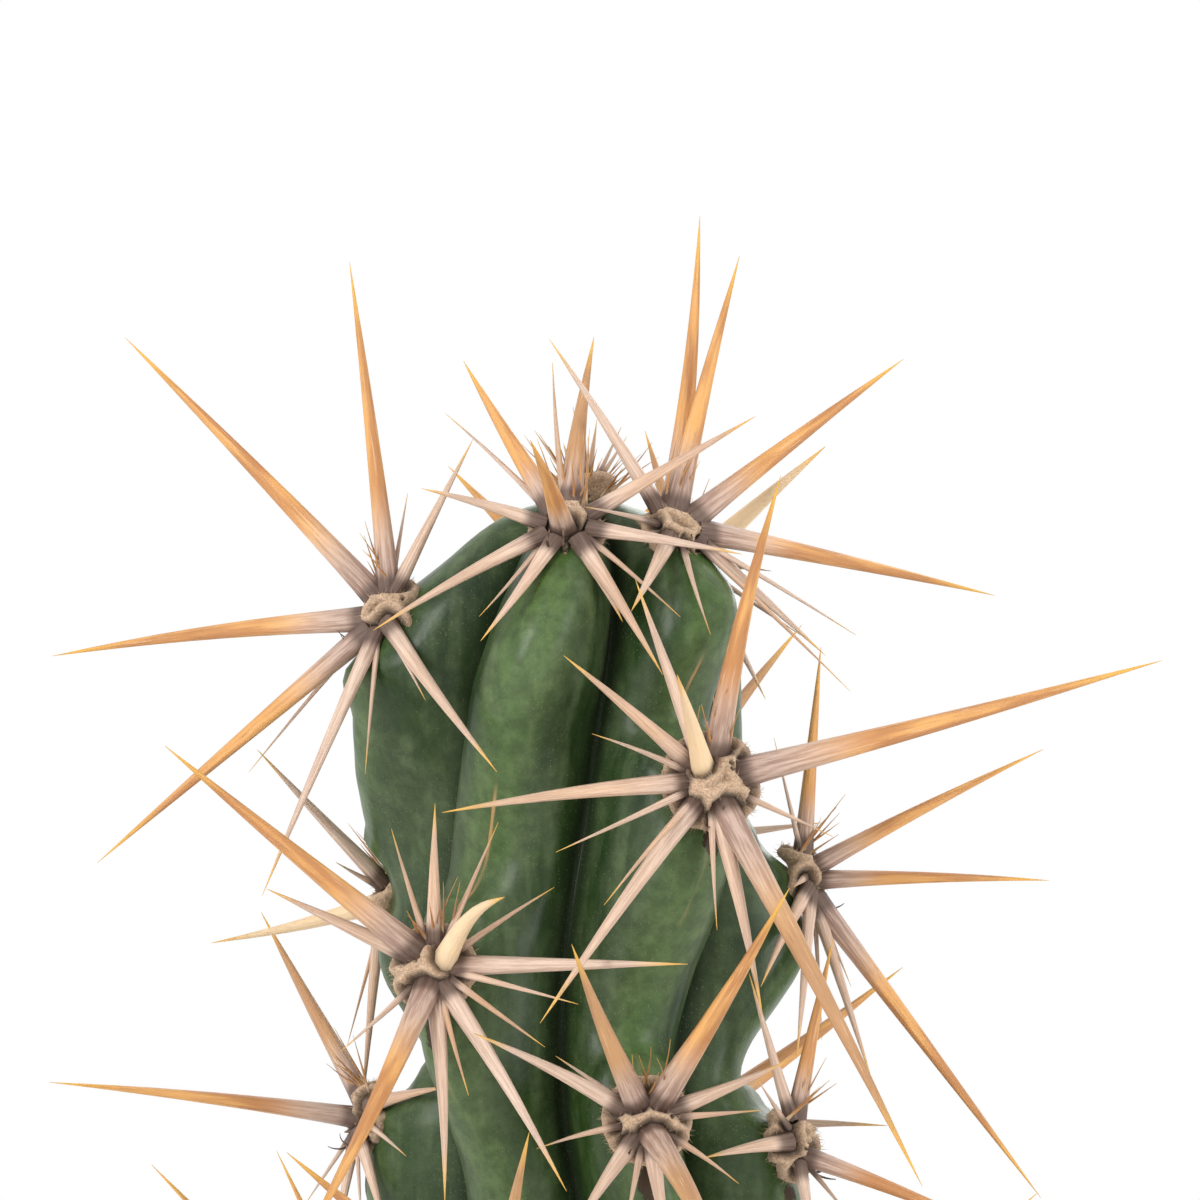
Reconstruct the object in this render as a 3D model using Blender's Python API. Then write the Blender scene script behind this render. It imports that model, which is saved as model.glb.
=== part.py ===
"""Potted columnar cactus: a turned clay pot, the potting soil in it, a five-ribbed stem and one
spine cluster for each areole on the ribs. Metres, +Z up, origin in the middle of the pot's
underside. Azimuths are in degrees round +Z: 0 faces -Y and 90 faces +X."""

import itertools
import math
import random
from collections import namedtuple

import bmesh
import bpy
import numpy as np
from mathutils import Matrix, Vector

# Drop below the stem's tip, azimuth on the stem, the azimuth and rise that it faces, the share
# of its full swelling that the rib has below it, which counts at the areole itself up to 1, and
# how deep the rib's waist above it is
Areole = namedtuple("Areole", "drop azimuth facing rise fullness waist", defaults=(1.0, 1.0))
# Clock is the direction round the areole (0 up, 90 right), lift the angle off its plane
Spine = namedtuple("Spine", "clock lift length radius")

# ---- Pot
POT_HEIGHT = 0.125
POT_FOOT_RADIUS = 0.048
POT_MOUTH_RADIUS = 0.064  # outside, level with the mouth, measured under the band
POT_WALL = 0.006
POT_FLOOR = 0.008
BAND_HEIGHT = 0.030
BAND_PROUD = 0.004
BAND_TAPER = 0.0013  # how much narrower the band is at its foot
LIP_ROUND = 0.0018
DRAIN_RADIUS = 0.006
DRAIN_CIRCLE_RADIUS = 0.026
DRAIN_COUNT = 3
POT_SEGMENTS = 48

# ---- Soil
RIM_RECESS = 0.014  # from the pot's mouth down to the soil
SOIL_CROWN = 0.003  # how much higher the soil stands against the stem
SOIL_SHOULDER = 0.004  # how far beyond the stem's crests the soil stays at that height
SEAT_GAP = 0.0004  # between the soil and the pot
SKIN_GAP = 0.0005  # between the stem's skin and the soil or the areoles

# ---- Stem
STEM_HEIGHT = 0.300  # from the soil at the pot's wall to the growing tip
STEM_BURIED = 0.040
CREST_RADIUS = 0.0298  # rib crest at its fullest, just below an areole
WAIST_RADIUS = 0.0212  # rib crest at its thinnest, just above the next areole
GROOVE_RADIUS = 0.0155
DOME_HEIGHT = 0.026  # the tip rounds over within this height
FOOT_TAPER = 0.030  # the stem narrows towards its foot within this height
FOOT_SHARE = 0.80  # its girth at the foot, as a share of the full girth
RIB_ROUNDING = 0.95  # power of the rib's cosine section: higher gives a sharper rib
FULL_PHASE = 0.22  # where a rib is fullest, as a share of the way from one areole to the next
WAIST_PHASE = 0.76  # and where it is thinnest
AREOLE_SWELL = 0.88  # how full it is at the areole itself
DOME_RINGS = 7
RING_STEP = 0.0060
COLUMNS_PER_RIB = 6

# ---- Ribs and areoles
RIBS = "abcde"
TIP_SPACING = 0.039  # from a rib's first areole up to the one that the tip has yet to form
RIB_WANDER = 9.0  # degrees that an areole stands to either side of its rib's mean line
LOWEST_AREOLE = 0.047  # above the soil
OLDER_AREOLES = 4  # on each rib, evenly spaced from the young ones down to the lowest
YOUNG_AREOLES = {
    "a": (Areole(0.0048, -8, -5, 45), Areole(0.061, -42, -20, 12), Areole(0.106, -24, -20, 15)),
    "b": (Areole(0.0050, 42, 40, 45), Areole(0.037, 34, 15, 15), Areole(0.080, 16, 5, 20)),
    "c": (Areole(0.0095, 128, 120, 40, 0.2), Areole(0.051, 96, 80, 15), Areole(0.085, 68, 70, 15)),
    "d": (Areole(0.0120, 185, 185, 40), Areole(0.048, 165, 165, 18), Areole(0.088, 154, 154, 15)),
    "e": (Areole(0.0157, 284, 300, 24, 1.3, 0.5), Areole(0.054, 244, 250, 15, 1.0, 0),
          Areole(0.083, 265, 280, 20)),
}
MEAN_AZIMUTH = {"a": -32, "b": 38, "c": 102, "d": 174, "e": 252}
OLDER_RISE = 15

# ---- Areole pads and spines
PAD_RADIUS = 0.0051
PAD_HEIGHT = 0.0034
PAD_SEGMENTS = 7
PAD_RINGS = 4
SPINE_DROOP = 0.05  # how far a level spine's tip hangs, as a share of its length
LONG_RADIUS = 0.0015
BROAD_RADIUS = 0.0010
THIN_RADIUS = 0.0005
SPINE_ROOM = 0.0008  # air between a spine and the spines of other areoles
SKIN_ROOM = 0.0005
RIM_ROOM = 0.003  # air between the lowest spines and the pot's mouth
CROWN_PAD_RADIUS = 0.0040
CROWN_SPINES = 9
ROOT_SPREAD = 0.6  # how far from the pad's middle a level spine leaves it, as a share
ROOT_HEIGHT = 0.4  # and how high, as a share of the pad's height
KNEE = 0.5  # share of a spine's length at which its taper quickens
KNEE_GIRTH = 0.72  # its thickness there, as a share of its thickness at the root
TURNS = (0, 6, -6, 13, -13, 20, -20)  # what a spine short of room tries, in degrees
RAISES = (0, 7, 14, 21, 28, 38, 50)
SHORTENINGS = (1, 0.85, 0.7, 0.55, 0.4, 0.25)
STUB = 0.1  # share of its length that is left of a spine with no room at all
SEED = 11

# Kind, clocks, how far these wander, and the ranges of lift and of length in millimetres
USUAL_SPINES = (
    ("long", (-50, 45, 175), 14, (36, 60), (34, 50)),
    ("broad", (90, 145, 212, 270), 9, (14, 26), (18, 27)),
    ("thin", (15, 70, 118, 240, 330), 7, (14, 26), (9, 14)),
)
CROWN_LIFTS, CROWN_LENGTHS = (48, 80), (6, 11)

# Spines of the young areoles as (clock, lift, length in millimetres)
YOUNG_SPINES = {
    "a1": {
        "long": ((-170, 69, 28), (-36, 28, 24), (5, 18, 26)),
        "broad": ((-125, -4, 26), (146, -20, 22), (-176, -20, 20), (105, 5, 21), (-90, 25, 17),
                  (60, 15, 26)),
        "thin": ((-49, 20, 20), (-7, 24, 21), (-158, -20, 14), (168, -24, 13), (128, -16, 17)),
    },
    "b1": {
        "long": ((18, 34, 42), (24, 44, 36), (74, 39, 38), (107, 5, 45)),
        "broad": ((-25, 20, 27), (-126, -24, 18), (150, -12, 23)),
        "thin": ((-169, -22, 17), (-83, -5, 13), (165, -12, 28), (138, 2, 24), (-145, -20, 9)),
    },
    "c1": {
        "long": ((-72, 50, 24), (40, 35, 20)),
        "broad": ((-20, 25, 16), (100, 20, 18), (165, 0, 22)),
        "thin": ((-130, 0, 16), (-100, 10, 12), (10, 20, 10), (65, 15, 11)),
    },
    "d1": {
        "long": ((-70, 45, 25), (60, 40, 22), (170, 30, 42)),
        "broad": ((15, 35, 15), (-115, 15, 24), (120, 15, 22)),
        "thin": ((-30, 20, 11), (90, 10, 14), (150, 5, 15), (-150, 5, 16), (-90, 8, 12)),
    },
    "b2": {
        "long": ((78, 26, 57), (165, 25, 60), (-3, 30, 38), (-50, 62, 26)),
        "broad": ((-28, 30, 27), (-56, 24, 25), (-96, 14, 36), (-153, 8, 38), (177, 16, 30),
                  (6, 14, 29)),
        "thin": ((-74, 25, 17), (-113, 20, 24), (-134, 20, 23), (-172, 20, 19), (120, 18, 14)),
    },
    "a2": {
        "long": ((-179, 43, 50), (-48, 40, 44), (68, 51, 27)),
        "broad": ((-66, 26, 21), (6, 25, 19), (87, 12, 35), (140, 12, 34), (165, 18, 30)),
        "thin": ((-14, 25, 16), (32, 25, 20), (62, 22, 20), (100, 20, 22), (117, 24, 21),
                 (152, 20, 17), (-140, 20, 13)),
    },
    "b3": {
        "long": ((169, 54, 50), (-41, 42, 32), (41, 50, 39)),
        "broad": ((-86, 20, 23), (70, 20, 17), (-146, 20, 18), (175, 20, 18)),
        "thin": ((-106, 20, 13), (-58, 22, 12), (88, 20, 12), (-166, 22, 15), (130, 20, 12)),
    },
    "e1": {
        "long": ((-45, 52, 50), (3, 33, 44), (-120, 42, 44), (-155, 20, 47)),
        "broad": ((-175, 2, 41), (128, -26, 31), (24, 8, 24)),
        "thin": ((170, -12, 21), (150, -26, 14), (-160, 5, 26), (-140, 6, 16), (4, 15, 13),
                 (-12, 18, 9)),
    },
    "c2": {
        "long": ((10, 76, 36), (170, 78, 32), (175, 22, 50), (0, 20, 28)),
        "broad": ((-133, -26, 21), (-150, -24, 27), (-172, 4, 26)),
        "thin": ((-18, 4, 17), (-162, -18, 19), (160, 4, 14), (-90, 0, 12)),
    },
    "c3": {
        "long": ((180, 58, 31), (8, 20, 25)),
        "broad": ((-12, 0, 20), (-82, -30, 15), (-150, 5, 18)),
        "thin": ((165, 22, 10), (30, 12, 11), (-45, 0, 10)),
    },
    "e2": {
        "long": ((150, 60, 24), (-110, 35, 36)),
        "broad": ((31, 30, 29), (172, -8, 23), (160, -12, 26)),
        "thin": ((68, 30, 9), (-170, 5, 20), (-20, 15, 12)),
    },
    "e3": {
        "long": ((180, 80, 42), (-60, 35, 34)),
        "broad": ((63, -30, 15), (168, -8, 16), (140, -26, 18)),
        "thin": ((100, -30, 11), (152, -18, 13), (-150, 8, 14)),
    },
}
GIRTHS = {"long": LONG_RADIUS, "broad": BROAD_RADIUS, "thin": THIN_RADIUS}

MATERIALS = {
    # name: (colour, roughness)
    "clay": ((0.56, 0.25, 0.13), 0.85),
    "soil": ((0.06, 0.04, 0.03), 0.95),
    "skin": ((0.05, 0.14, 0.05), 0.45),
    "spine": ((0.62, 0.40, 0.22), 0.55),
}

SOIL_Z = POT_HEIGHT - RIM_RECESS
TIP_Z = SOIL_Z + STEM_HEIGHT
BURIED_DROP = STEM_HEIGHT + STEM_BURIED


# ---------------------------------------------------------------- scene and mesh helpers
def clear_scene():
    for obj in list(bpy.data.objects):
        bpy.data.objects.remove(obj)


def material(name):
    found = bpy.data.materials.get(name)
    if found:
        return found
    colour, roughness = MATERIALS[name]
    made = bpy.data.materials.new(name)
    made.use_nodes = True
    shader = made.node_tree.nodes["Principled BSDF"]
    shader.inputs["Base Color"].default_value = (*colour, 1)
    shader.inputs["Roughness"].default_value = roughness
    return made


def add_object(name, bm, finish=None):
    mesh = bpy.data.meshes.new(name)
    bmesh.ops.recalc_face_normals(bm, faces=bm.faces)
    bm.to_mesh(mesh)
    bm.free()
    mesh.shade_smooth()
    mesh.set_sharp_from_angle(angle=math.radians(40))
    obj = bpy.data.objects.new(name, mesh)
    bpy.context.scene.collection.objects.link(obj)
    if finish:
        mesh.materials.append(material(finish))
    return obj


def hide_cutter(obj):
    obj.hide_render = True
    obj.display_type = "WIRE"


def cut(obj, cutter, self_overlap=False):
    boolean = obj.modifiers.new("cut_" + cutter.name, "BOOLEAN")
    boolean.operation = "DIFFERENCE"
    boolean.solver = "EXACT"
    boolean.use_self = self_overlap
    boolean.object = cutter


def loft(bm, rings, start_point=None, end_point=None):
    """Skins equal rings of points, closed at each end by a point or by one flat face."""
    loops = [[bm.verts.new(p) for p in ring] for ring in rings]
    count = len(loops[0])
    for lower, upper in zip(loops, loops[1:]):
        for i in range(count):
            j = (i + 1) % count
            bm.faces.new((lower[i], lower[j], upper[j], upper[i]))
    for loop, point in ((loops[0], start_point), (loops[-1], end_point)):
        if point is None:
            bm.faces.new(loop)
            continue
        apex = bm.verts.new(point)
        for i in range(count):
            bm.faces.new((loop[i], loop[(i + 1) % count], apex))


def turned(name, profile, segments, finish):
    """A solid of revolution about Z from (radius, height) points, both ends on the axis."""
    bm = bmesh.new()
    points = [bm.verts.new((radius, 0, height)) for radius, height in profile]
    for a, b in zip(points, points[1:]):
        bm.edges.new((a, b))
    mesh = bpy.data.meshes.new(name)
    bm.to_mesh(mesh)
    bm.free()
    mesh.materials.append(material(finish))
    obj = bpy.data.objects.new(name, mesh)
    bpy.context.scene.collection.objects.link(obj)
    screw = obj.modifiers.new("turn", "SCREW")
    screw.steps = segments
    screw.render_steps = segments
    screw.use_merge_vertices = True
    screw.merge_threshold = 0.00005
    screw.use_normal_calculate = True
    return obj


# ---------------------------------------------------------------- pot and soil
def wall_radius(height):
    """Outside radius of the pot's plain wall at a height, without its band."""
    return POT_FOOT_RADIUS + (POT_MOUTH_RADIUS - POT_FOOT_RADIUS) * height / POT_HEIGHT


def make_pot():
    band_low = POT_HEIGHT - BAND_HEIGHT
    band_radius = POT_MOUTH_RADIUS + BAND_PROUD
    inner_mouth = wall_radius(POT_HEIGHT) - POT_WALL
    profile = [
        (0, POT_FLOOR),
        (wall_radius(POT_FLOOR) - POT_WALL, POT_FLOOR),
        (inner_mouth, POT_HEIGHT - LIP_ROUND),
        (inner_mouth + LIP_ROUND, POT_HEIGHT),
        (band_radius - LIP_ROUND, POT_HEIGHT),
        (band_radius, POT_HEIGHT - LIP_ROUND),
        (band_radius - BAND_TAPER, band_low + LIP_ROUND),
        (band_radius - BAND_TAPER - LIP_ROUND, band_low),
        (wall_radius(band_low), band_low),
        (wall_radius(LIP_ROUND), LIP_ROUND),
        (POT_FOOT_RADIUS - LIP_ROUND, 0),
        (0, 0),
    ]
    pot = turned("pot", profile, POT_SEGMENTS, "clay")
    for number in range(DRAIN_COUNT):
        angle = 2 * math.pi * number / DRAIN_COUNT
        bm = bmesh.new()
        bmesh.ops.create_cone(
            bm, segments=12, radius1=DRAIN_RADIUS, radius2=DRAIN_RADIUS,
            depth=3 * POT_FLOOR, cap_ends=True,
        )
        drill = add_object(f"drain_drill_{number + 1}", bm)
        drill.location = (
            DRAIN_CIRCLE_RADIUS * math.cos(angle),
            DRAIN_CIRCLE_RADIUS * math.sin(angle),
            POT_FLOOR / 2,
        )
        hide_cutter(drill)
        cut(pot, drill)


def make_soil(stem_clearance):
    low = POT_FLOOR + SEAT_GAP
    profile = [
        (0, SOIL_Z + SOIL_CROWN),
        (CREST_RADIUS + SOIL_SHOULDER, SOIL_Z + SOIL_CROWN),
        (wall_radius(SOIL_Z) - POT_WALL - SEAT_GAP, SOIL_Z),
        (wall_radius(low) - POT_WALL - SEAT_GAP, low),
        (0, low),
    ]
    soil = turned("potting_soil", profile, POT_SEGMENTS, "soil")
    cut(soil, stem_clearance)


# ---------------------------------------------------------------- the stem's shape
def smooth_step(share):
    return share * share * (3 - 2 * share)


def areole_row(rib):
    """Every areole of a rib from the tip down to the lowest, which stands clear of the pot."""
    row = list(YOUNG_AREOLES[rib])
    youngest = row[-1].drop
    spacing = (STEM_HEIGHT - LOWEST_AREOLE - youngest) / OLDER_AREOLES
    side = 1 if row[-1].azimuth < MEAN_AZIMUTH[rib] else -1
    for number in range(1, OLDER_AREOLES + 1):
        azimuth = MEAN_AZIMUTH[rib] + side * RIB_WANDER
        row.append(Areole(youngest + number * spacing, azimuth, azimuth, OLDER_RISE))
        side = -side
    return row


AREOLES = {rib: areole_row(rib) for rib in RIBS}


def stations(rib):
    """The rib's areoles with more of them at each end, so that every drop lies between two."""
    row = AREOLES[rib]
    above = row[0]._replace(drop=row[0].drop - TIP_SPACING, fullness=1.0)
    mean = MEAN_AZIMUTH[rib]
    below = [Areole(row[-1].drop + n * TIP_SPACING, mean, mean, 0) for n in (1, 2, 3, 4)]
    return [above, *row, *below]


def along_rib(rib, drop):
    """(azimuth, radius) of a rib's crest at a drop, before the tip and the foot narrow it."""
    row = stations(rib)
    for above, below in zip(row, row[1:]):
        if drop < below.drop:
            break
    phase = min(1.0, (drop - above.drop) / (below.drop - above.drop))
    azimuth = above.azimuth + (below.azimuth - above.azimuth) * smooth_step(phase)
    if phase < FULL_PHASE:
        start, end, way = min(1.0, above.fullness), above.fullness, phase / FULL_PHASE
    else:
        start, end = above.fullness, min(1.0, below.fullness)
        way = max(0.0, phase - WAIST_PHASE) / (1 - WAIST_PHASE)
    full = start + (end - start) * smooth_step(way)
    shape = swell(phase)
    if shape < AREOLE_SWELL:
        shape = AREOLE_SWELL + (shape - AREOLE_SWELL) * below.waist
    return azimuth, WAIST_RADIUS + (CREST_RADIUS - WAIST_RADIUS) * full * shape


def swell(phase):
    """How full a rib is between two areoles: 1 just below the upper one, 0 at its waist."""
    if phase < FULL_PHASE:
        return AREOLE_SWELL + (1 - AREOLE_SWELL) * smooth_step(phase / FULL_PHASE)
    if phase < WAIST_PHASE:
        return 1 - smooth_step((phase - FULL_PHASE) / (WAIST_PHASE - FULL_PHASE))
    return AREOLE_SWELL * smooth_step((phase - WAIST_PHASE) / (1 - WAIST_PHASE))


def girth(drop):
    """Overall share of the stem's full radius: the round tip and the tapered foot."""
    share = 1.0
    if drop < DOME_HEIGHT:
        share = math.sqrt(max(0.0, 1 - (1 - drop / DOME_HEIGHT) ** 2))
    foot = drop - (STEM_HEIGHT - FOOT_TAPER)
    if foot > 0:
        share *= 1 - (1 - FOOT_SHARE) * smooth_step(min(1.0, foot / FOOT_TAPER))
    return share


def skin_point(drop, around):
    """A point of the skin. around counts ribs: 1.0 is the crest of the second, 1.5 a groove."""
    index = math.floor(around)
    share = around - index
    rib, following = RIBS[index % len(RIBS)], RIBS[(index + 1) % len(RIBS)]
    azimuth_1, crest_1 = along_rib(rib, drop)
    azimuth_2, crest_2 = along_rib(following, drop)
    while azimuth_2 < azimuth_1:
        azimuth_2 += 360
    crest = crest_1 + (crest_2 - crest_1) * smooth_step(share)
    fullness = abs(math.cos(math.pi * share)) ** RIB_ROUNDING
    radius = (GROOVE_RADIUS + (crest - GROOVE_RADIUS) * fullness) * girth(drop)
    angle = math.radians(azimuth_1 + (azimuth_2 - azimuth_1) * share)
    return Vector((radius * math.sin(angle), -radius * math.cos(angle), TIP_Z - drop))


def areole_frame(rib, areole):
    """(point, out, up, right) of an areole: right is to the right of someone facing it."""
    facing, rise = math.radians(areole.facing), math.radians(areole.rise)
    out = Vector((math.sin(facing) * math.cos(rise), -math.cos(facing) * math.cos(rise),
                  math.sin(rise)))
    up = (Vector((0, 0, 1)) - out * out.z).normalized()
    return skin_point(areole.drop, RIBS.index(rib)), out, up, up.cross(out)


def stem_mesh(grown_by=0.0):
    """The stem as a bmesh, or the stem grown outwards by a clearance."""
    columns = len(RIBS) * COLUMNS_PER_RIB
    angles = [math.pi / 2 * ring / DOME_RINGS for ring in range(1, DOME_RINGS)]
    drops = [DOME_HEIGHT * (1 - math.cos(angle)) for angle in angles]
    count = math.ceil((BURIED_DROP - DOME_HEIGHT) / RING_STEP)
    drops += [
        DOME_HEIGHT + (BURIED_DROP - DOME_HEIGHT) * ring / count for ring in range(count + 1)
    ]
    rings = [
        [skin_point(drop, column / COLUMNS_PER_RIB) for column in range(columns)]
        for drop in drops
    ]
    bm = bmesh.new()
    loft(bm, rings, Vector((0, 0, TIP_Z)), Vector((0, 0, TIP_Z - BURIED_DROP)))
    bmesh.ops.recalc_face_normals(bm, faces=bm.faces)
    bm.normal_update()
    moves = [(vert, vert.normal * grown_by) for vert in bm.verts]
    for vert, move in moves:
        vert.co += move
    return bm


def skin_radius(point):
    """The stem's radius at a point's height and azimuth, nothing above the tip."""
    drop = TIP_Z - point.z
    if drop <= 0:
        return 0.0
    azimuth = math.degrees(math.atan2(point.x, -point.y))
    crests = [along_rib(rib, drop)[0] for rib in RIBS]
    crests.append(crests[0] + 360)
    while azimuth < crests[0]:
        azimuth += 360
    for index, (low, high) in enumerate(zip(crests, crests[1:])):
        if azimuth <= high:
            return skin_point(drop, index + (azimuth - low) / (high - low)).xy.length
    return 0.0


# ---------------------------------------------------------------- spines
def spine_way(frame, spine):
    """(flat direction on the areole, direction of growth) of a spine."""
    _, out, up, right = frame
    clock, lift = math.radians(spine.clock), math.radians(spine.lift)
    flat = up * math.cos(clock) + right * math.sin(clock)
    return flat, flat * math.cos(lift) + out * math.sin(lift)


def spine_root(frame, spine, pad_radius):
    """Where a spine leaves the pad: the flatter it lies, the nearer to the pad's edge."""
    flat, _ = spine_way(frame, spine)
    point, out = frame[0], frame[1]
    spread = ROOT_SPREAD * pad_radius * math.cos(math.radians(spine.lift))
    return point + flat * spread + out * ROOT_HEIGHT * PAD_HEIGHT


def spine_axis(frame, spine, pad_radius, share):
    """A point on the spine's middle line, at a share of its length, with its droop."""
    _, growth = spine_way(frame, spine)
    droop = Vector((0, 0, SPINE_DROOP * spine.length * (1 - abs(growth.z)) * share * share))
    return spine_root(frame, spine, pad_radius) + growth * spine.length * share - droop


class Air:
    """The space round the plant, with what already stands in it, as sampled points."""

    SAMPLE = 0.0015

    def __init__(self):
        self.taken = np.empty((0, 5))

    def add(self, points, radius, owner):
        rows = [(*point, radius, owner) for point in points]
        self.taken = np.vstack((self.taken, rows))

    def samples(self, frame, spine, pad_radius):
        count = max(3, math.ceil(spine.length / self.SAMPLE))
        return [spine_axis(frame, spine, pad_radius, i / count) for i in range(count + 1)]

    def free(self, points, radius, owner):
        """Is a spine clear of the skin, of the pot's mouth and of the other areoles?"""
        for point in points:
            if (point - points[0]).length < PAD_RADIUS:
                continue
            if point.xy.length < skin_radius(point) + radius + SKIN_ROOM:
                return False
            if point.z < POT_HEIGHT + RIM_ROOM:
                return False
        places = np.array([tuple(point) for point in points])
        middle, reach = places.mean(axis=0), np.ptp(places, axis=0).max() + PAD_RADIUS
        near = np.all(np.abs(self.taken[:, :3] - middle) < reach, axis=1)
        others = self.taken[near & (self.taken[:, 4] != owner)]
        if not len(others):
            return True
        gaps = np.linalg.norm(places[:, None, :] - others[None, :, :3], axis=2)
        return bool((gaps > others[:, 3] + radius + SPINE_ROOM).all())


def fitted(air, owner, frame, spine, pad_radius):
    """The spine, turned, raised or shortened by as little as gives it room."""
    for share, raised, turned in itertools.product(SHORTENINGS, RAISES, TURNS):
        trial = spine._replace(clock=spine.clock + turned, lift=spine.lift + raised,
                               length=spine.length * share)
        points = air.samples(frame, trial, pad_radius)
        if air.free(points, spine.radius, owner):
            air.add(points, spine.radius, owner)
            return trial
    return spine._replace(length=spine.length * STUB)


def add_spine(bm, frame, spine, pad_radius):
    """A pointed spine that keeps its thickness for a while and then tapers."""
    _, growth = spine_way(frame, spine)
    turn = growth.to_track_quat("Z", "Y").to_matrix()
    sides = 4 if spine.radius == LONG_RADIUS else 3
    angles = [2 * math.pi * side / sides for side in range(sides)]
    rings = []
    for share, girth_share in ((0.0, 1.0), (KNEE, KNEE_GIRTH)):
        middle = spine_axis(frame, spine, pad_radius, share)
        rings.append([
            middle + turn @ Vector((math.cos(a), math.sin(a), 0)) * spine.radius * girth_share
            for a in angles
        ])
    loft(bm, rings, None, spine_axis(frame, spine, pad_radius, 1))


def add_pad(bm, frame, pad_radius):
    point, out, up, right = frame
    turn = Matrix((right, up, out)).transposed().to_4x4()
    bmesh.ops.create_uvsphere(
        bm, u_segments=PAD_SEGMENTS, v_segments=PAD_RINGS, radius=1,
        matrix=Matrix.Translation(point) @ turn
        @ Matrix.Diagonal((pad_radius, pad_radius, PAD_HEIGHT, 1)),
    )


def young_spines(name):
    """The spines of an areole that has a plan of its own."""
    return [
        Spine(clock, lift, millimetres / 1000, GIRTHS[kind])
        for kind, rows in YOUNG_SPINES[name].items()
        for clock, lift, millimetres in rows
    ]


def usual_spines(dice):
    """The spines of any other areole: a few long ones, and rays round the pad."""
    return [
        Spine(clock + dice.uniform(-wander, wander), dice.uniform(*lifts),
              dice.uniform(*lengths) / 1000, GIRTHS[kind])
        for kind, clocks, wander, lifts, lengths in USUAL_SPINES
        for clock in clocks
    ]


def crown_spines(dice):
    """Short new spines in a tuft on the growing tip."""
    return [
        Spine(360 * number / CROWN_SPINES, dice.uniform(*CROWN_LIFTS),
              dice.uniform(*CROWN_LENGTHS) / 1000, THIN_RADIUS)
        for number in range(CROWN_SPINES)
    ]


def make_cluster(name, frame, spines, pad_radius, skin_clearance):
    bm = bmesh.new()
    add_pad(bm, frame, pad_radius)
    for spine in spines:
        add_spine(bm, frame, spine, pad_radius)
    cluster = add_object(name, bm, "spine")
    cut(cluster, skin_clearance, self_overlap=True)


def make_spines(skin_clearance):
    """One cluster for each areole and one for the tip. Those with a plan take their room first."""
    dice = random.Random(SEED)
    crown = (Vector((0, 0, TIP_Z)), Vector((0, 0, 1)), Vector((0, -1, 0)), Vector((1, 0, 0)))
    clusters = {"crown": (crown, crown_spines(dice), CROWN_PAD_RADIUS)}
    for rib in RIBS:
        for number, areole in enumerate(AREOLES[rib], 1):
            name = f"{rib}{number}"
            spines = young_spines(name) if name in YOUNG_SPINES else usual_spines(dice)
            clusters[name] = (areole_frame(rib, areole), spines, PAD_RADIUS)
    air = Air()
    owners = {name: owner for owner, name in enumerate(clusters)}
    for name, (frame, _, pad_radius) in clusters.items():
        air.add([frame[0]], pad_radius, owners[name])
    for name in sorted(clusters, key=lambda name: name not in YOUNG_SPINES):
        frame, spines, pad_radius = clusters[name]
        spines = [fitted(air, owners[name], frame, spine, pad_radius) for spine in spines]
        make_cluster("spines_" + name, frame, spines, pad_radius, skin_clearance)


def main():
    clear_scene()
    clearance = add_object("skin_clearance", stem_mesh(SKIN_GAP))
    hide_cutter(clearance)
    make_pot()
    make_soil(clearance)
    add_object("stem", stem_mesh(), "skin")
    make_spines(clearance)


main()
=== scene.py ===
# %% [markdown]
# # A potted columnar cactus
# This lesson dresses a measured model of a potted cactus: a clay pot, its soil, a five-ribbed stem
# and thirty-six clusters of spines. The model is loaded first and never moves. Each piece that we
# make stands exactly where the model's own piece stands, and takes its place.
# Everything is in metres, +Z is up, and the pot's underside is at the origin.

# %% Load the frame
import math
import random
from collections import namedtuple

import bmesh
import bpy
import numpy as np
from mathutils import Matrix, Vector


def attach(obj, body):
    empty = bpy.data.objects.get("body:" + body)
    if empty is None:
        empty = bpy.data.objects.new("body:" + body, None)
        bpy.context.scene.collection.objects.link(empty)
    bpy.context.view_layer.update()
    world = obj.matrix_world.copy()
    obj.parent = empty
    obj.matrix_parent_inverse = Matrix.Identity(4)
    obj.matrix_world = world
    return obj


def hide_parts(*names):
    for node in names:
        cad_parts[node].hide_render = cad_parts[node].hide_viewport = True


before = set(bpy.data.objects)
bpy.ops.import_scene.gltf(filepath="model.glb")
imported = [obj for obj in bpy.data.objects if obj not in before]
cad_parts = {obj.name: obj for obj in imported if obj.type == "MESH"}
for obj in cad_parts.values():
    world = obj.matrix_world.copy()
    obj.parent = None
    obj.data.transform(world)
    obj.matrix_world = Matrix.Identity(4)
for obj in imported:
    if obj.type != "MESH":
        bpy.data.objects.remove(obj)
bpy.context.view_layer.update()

MM = 0.001


# %% [markdown]
# ## Writing node trees
# A material and a geometry tree are both node trees, and by hand each node takes several lines.
# This small class adds a node, sets it up and wires it in one call, so that a tree in the cells
# below reads almost like a sum. A value may be a plain number or what another node puts out.

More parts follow.
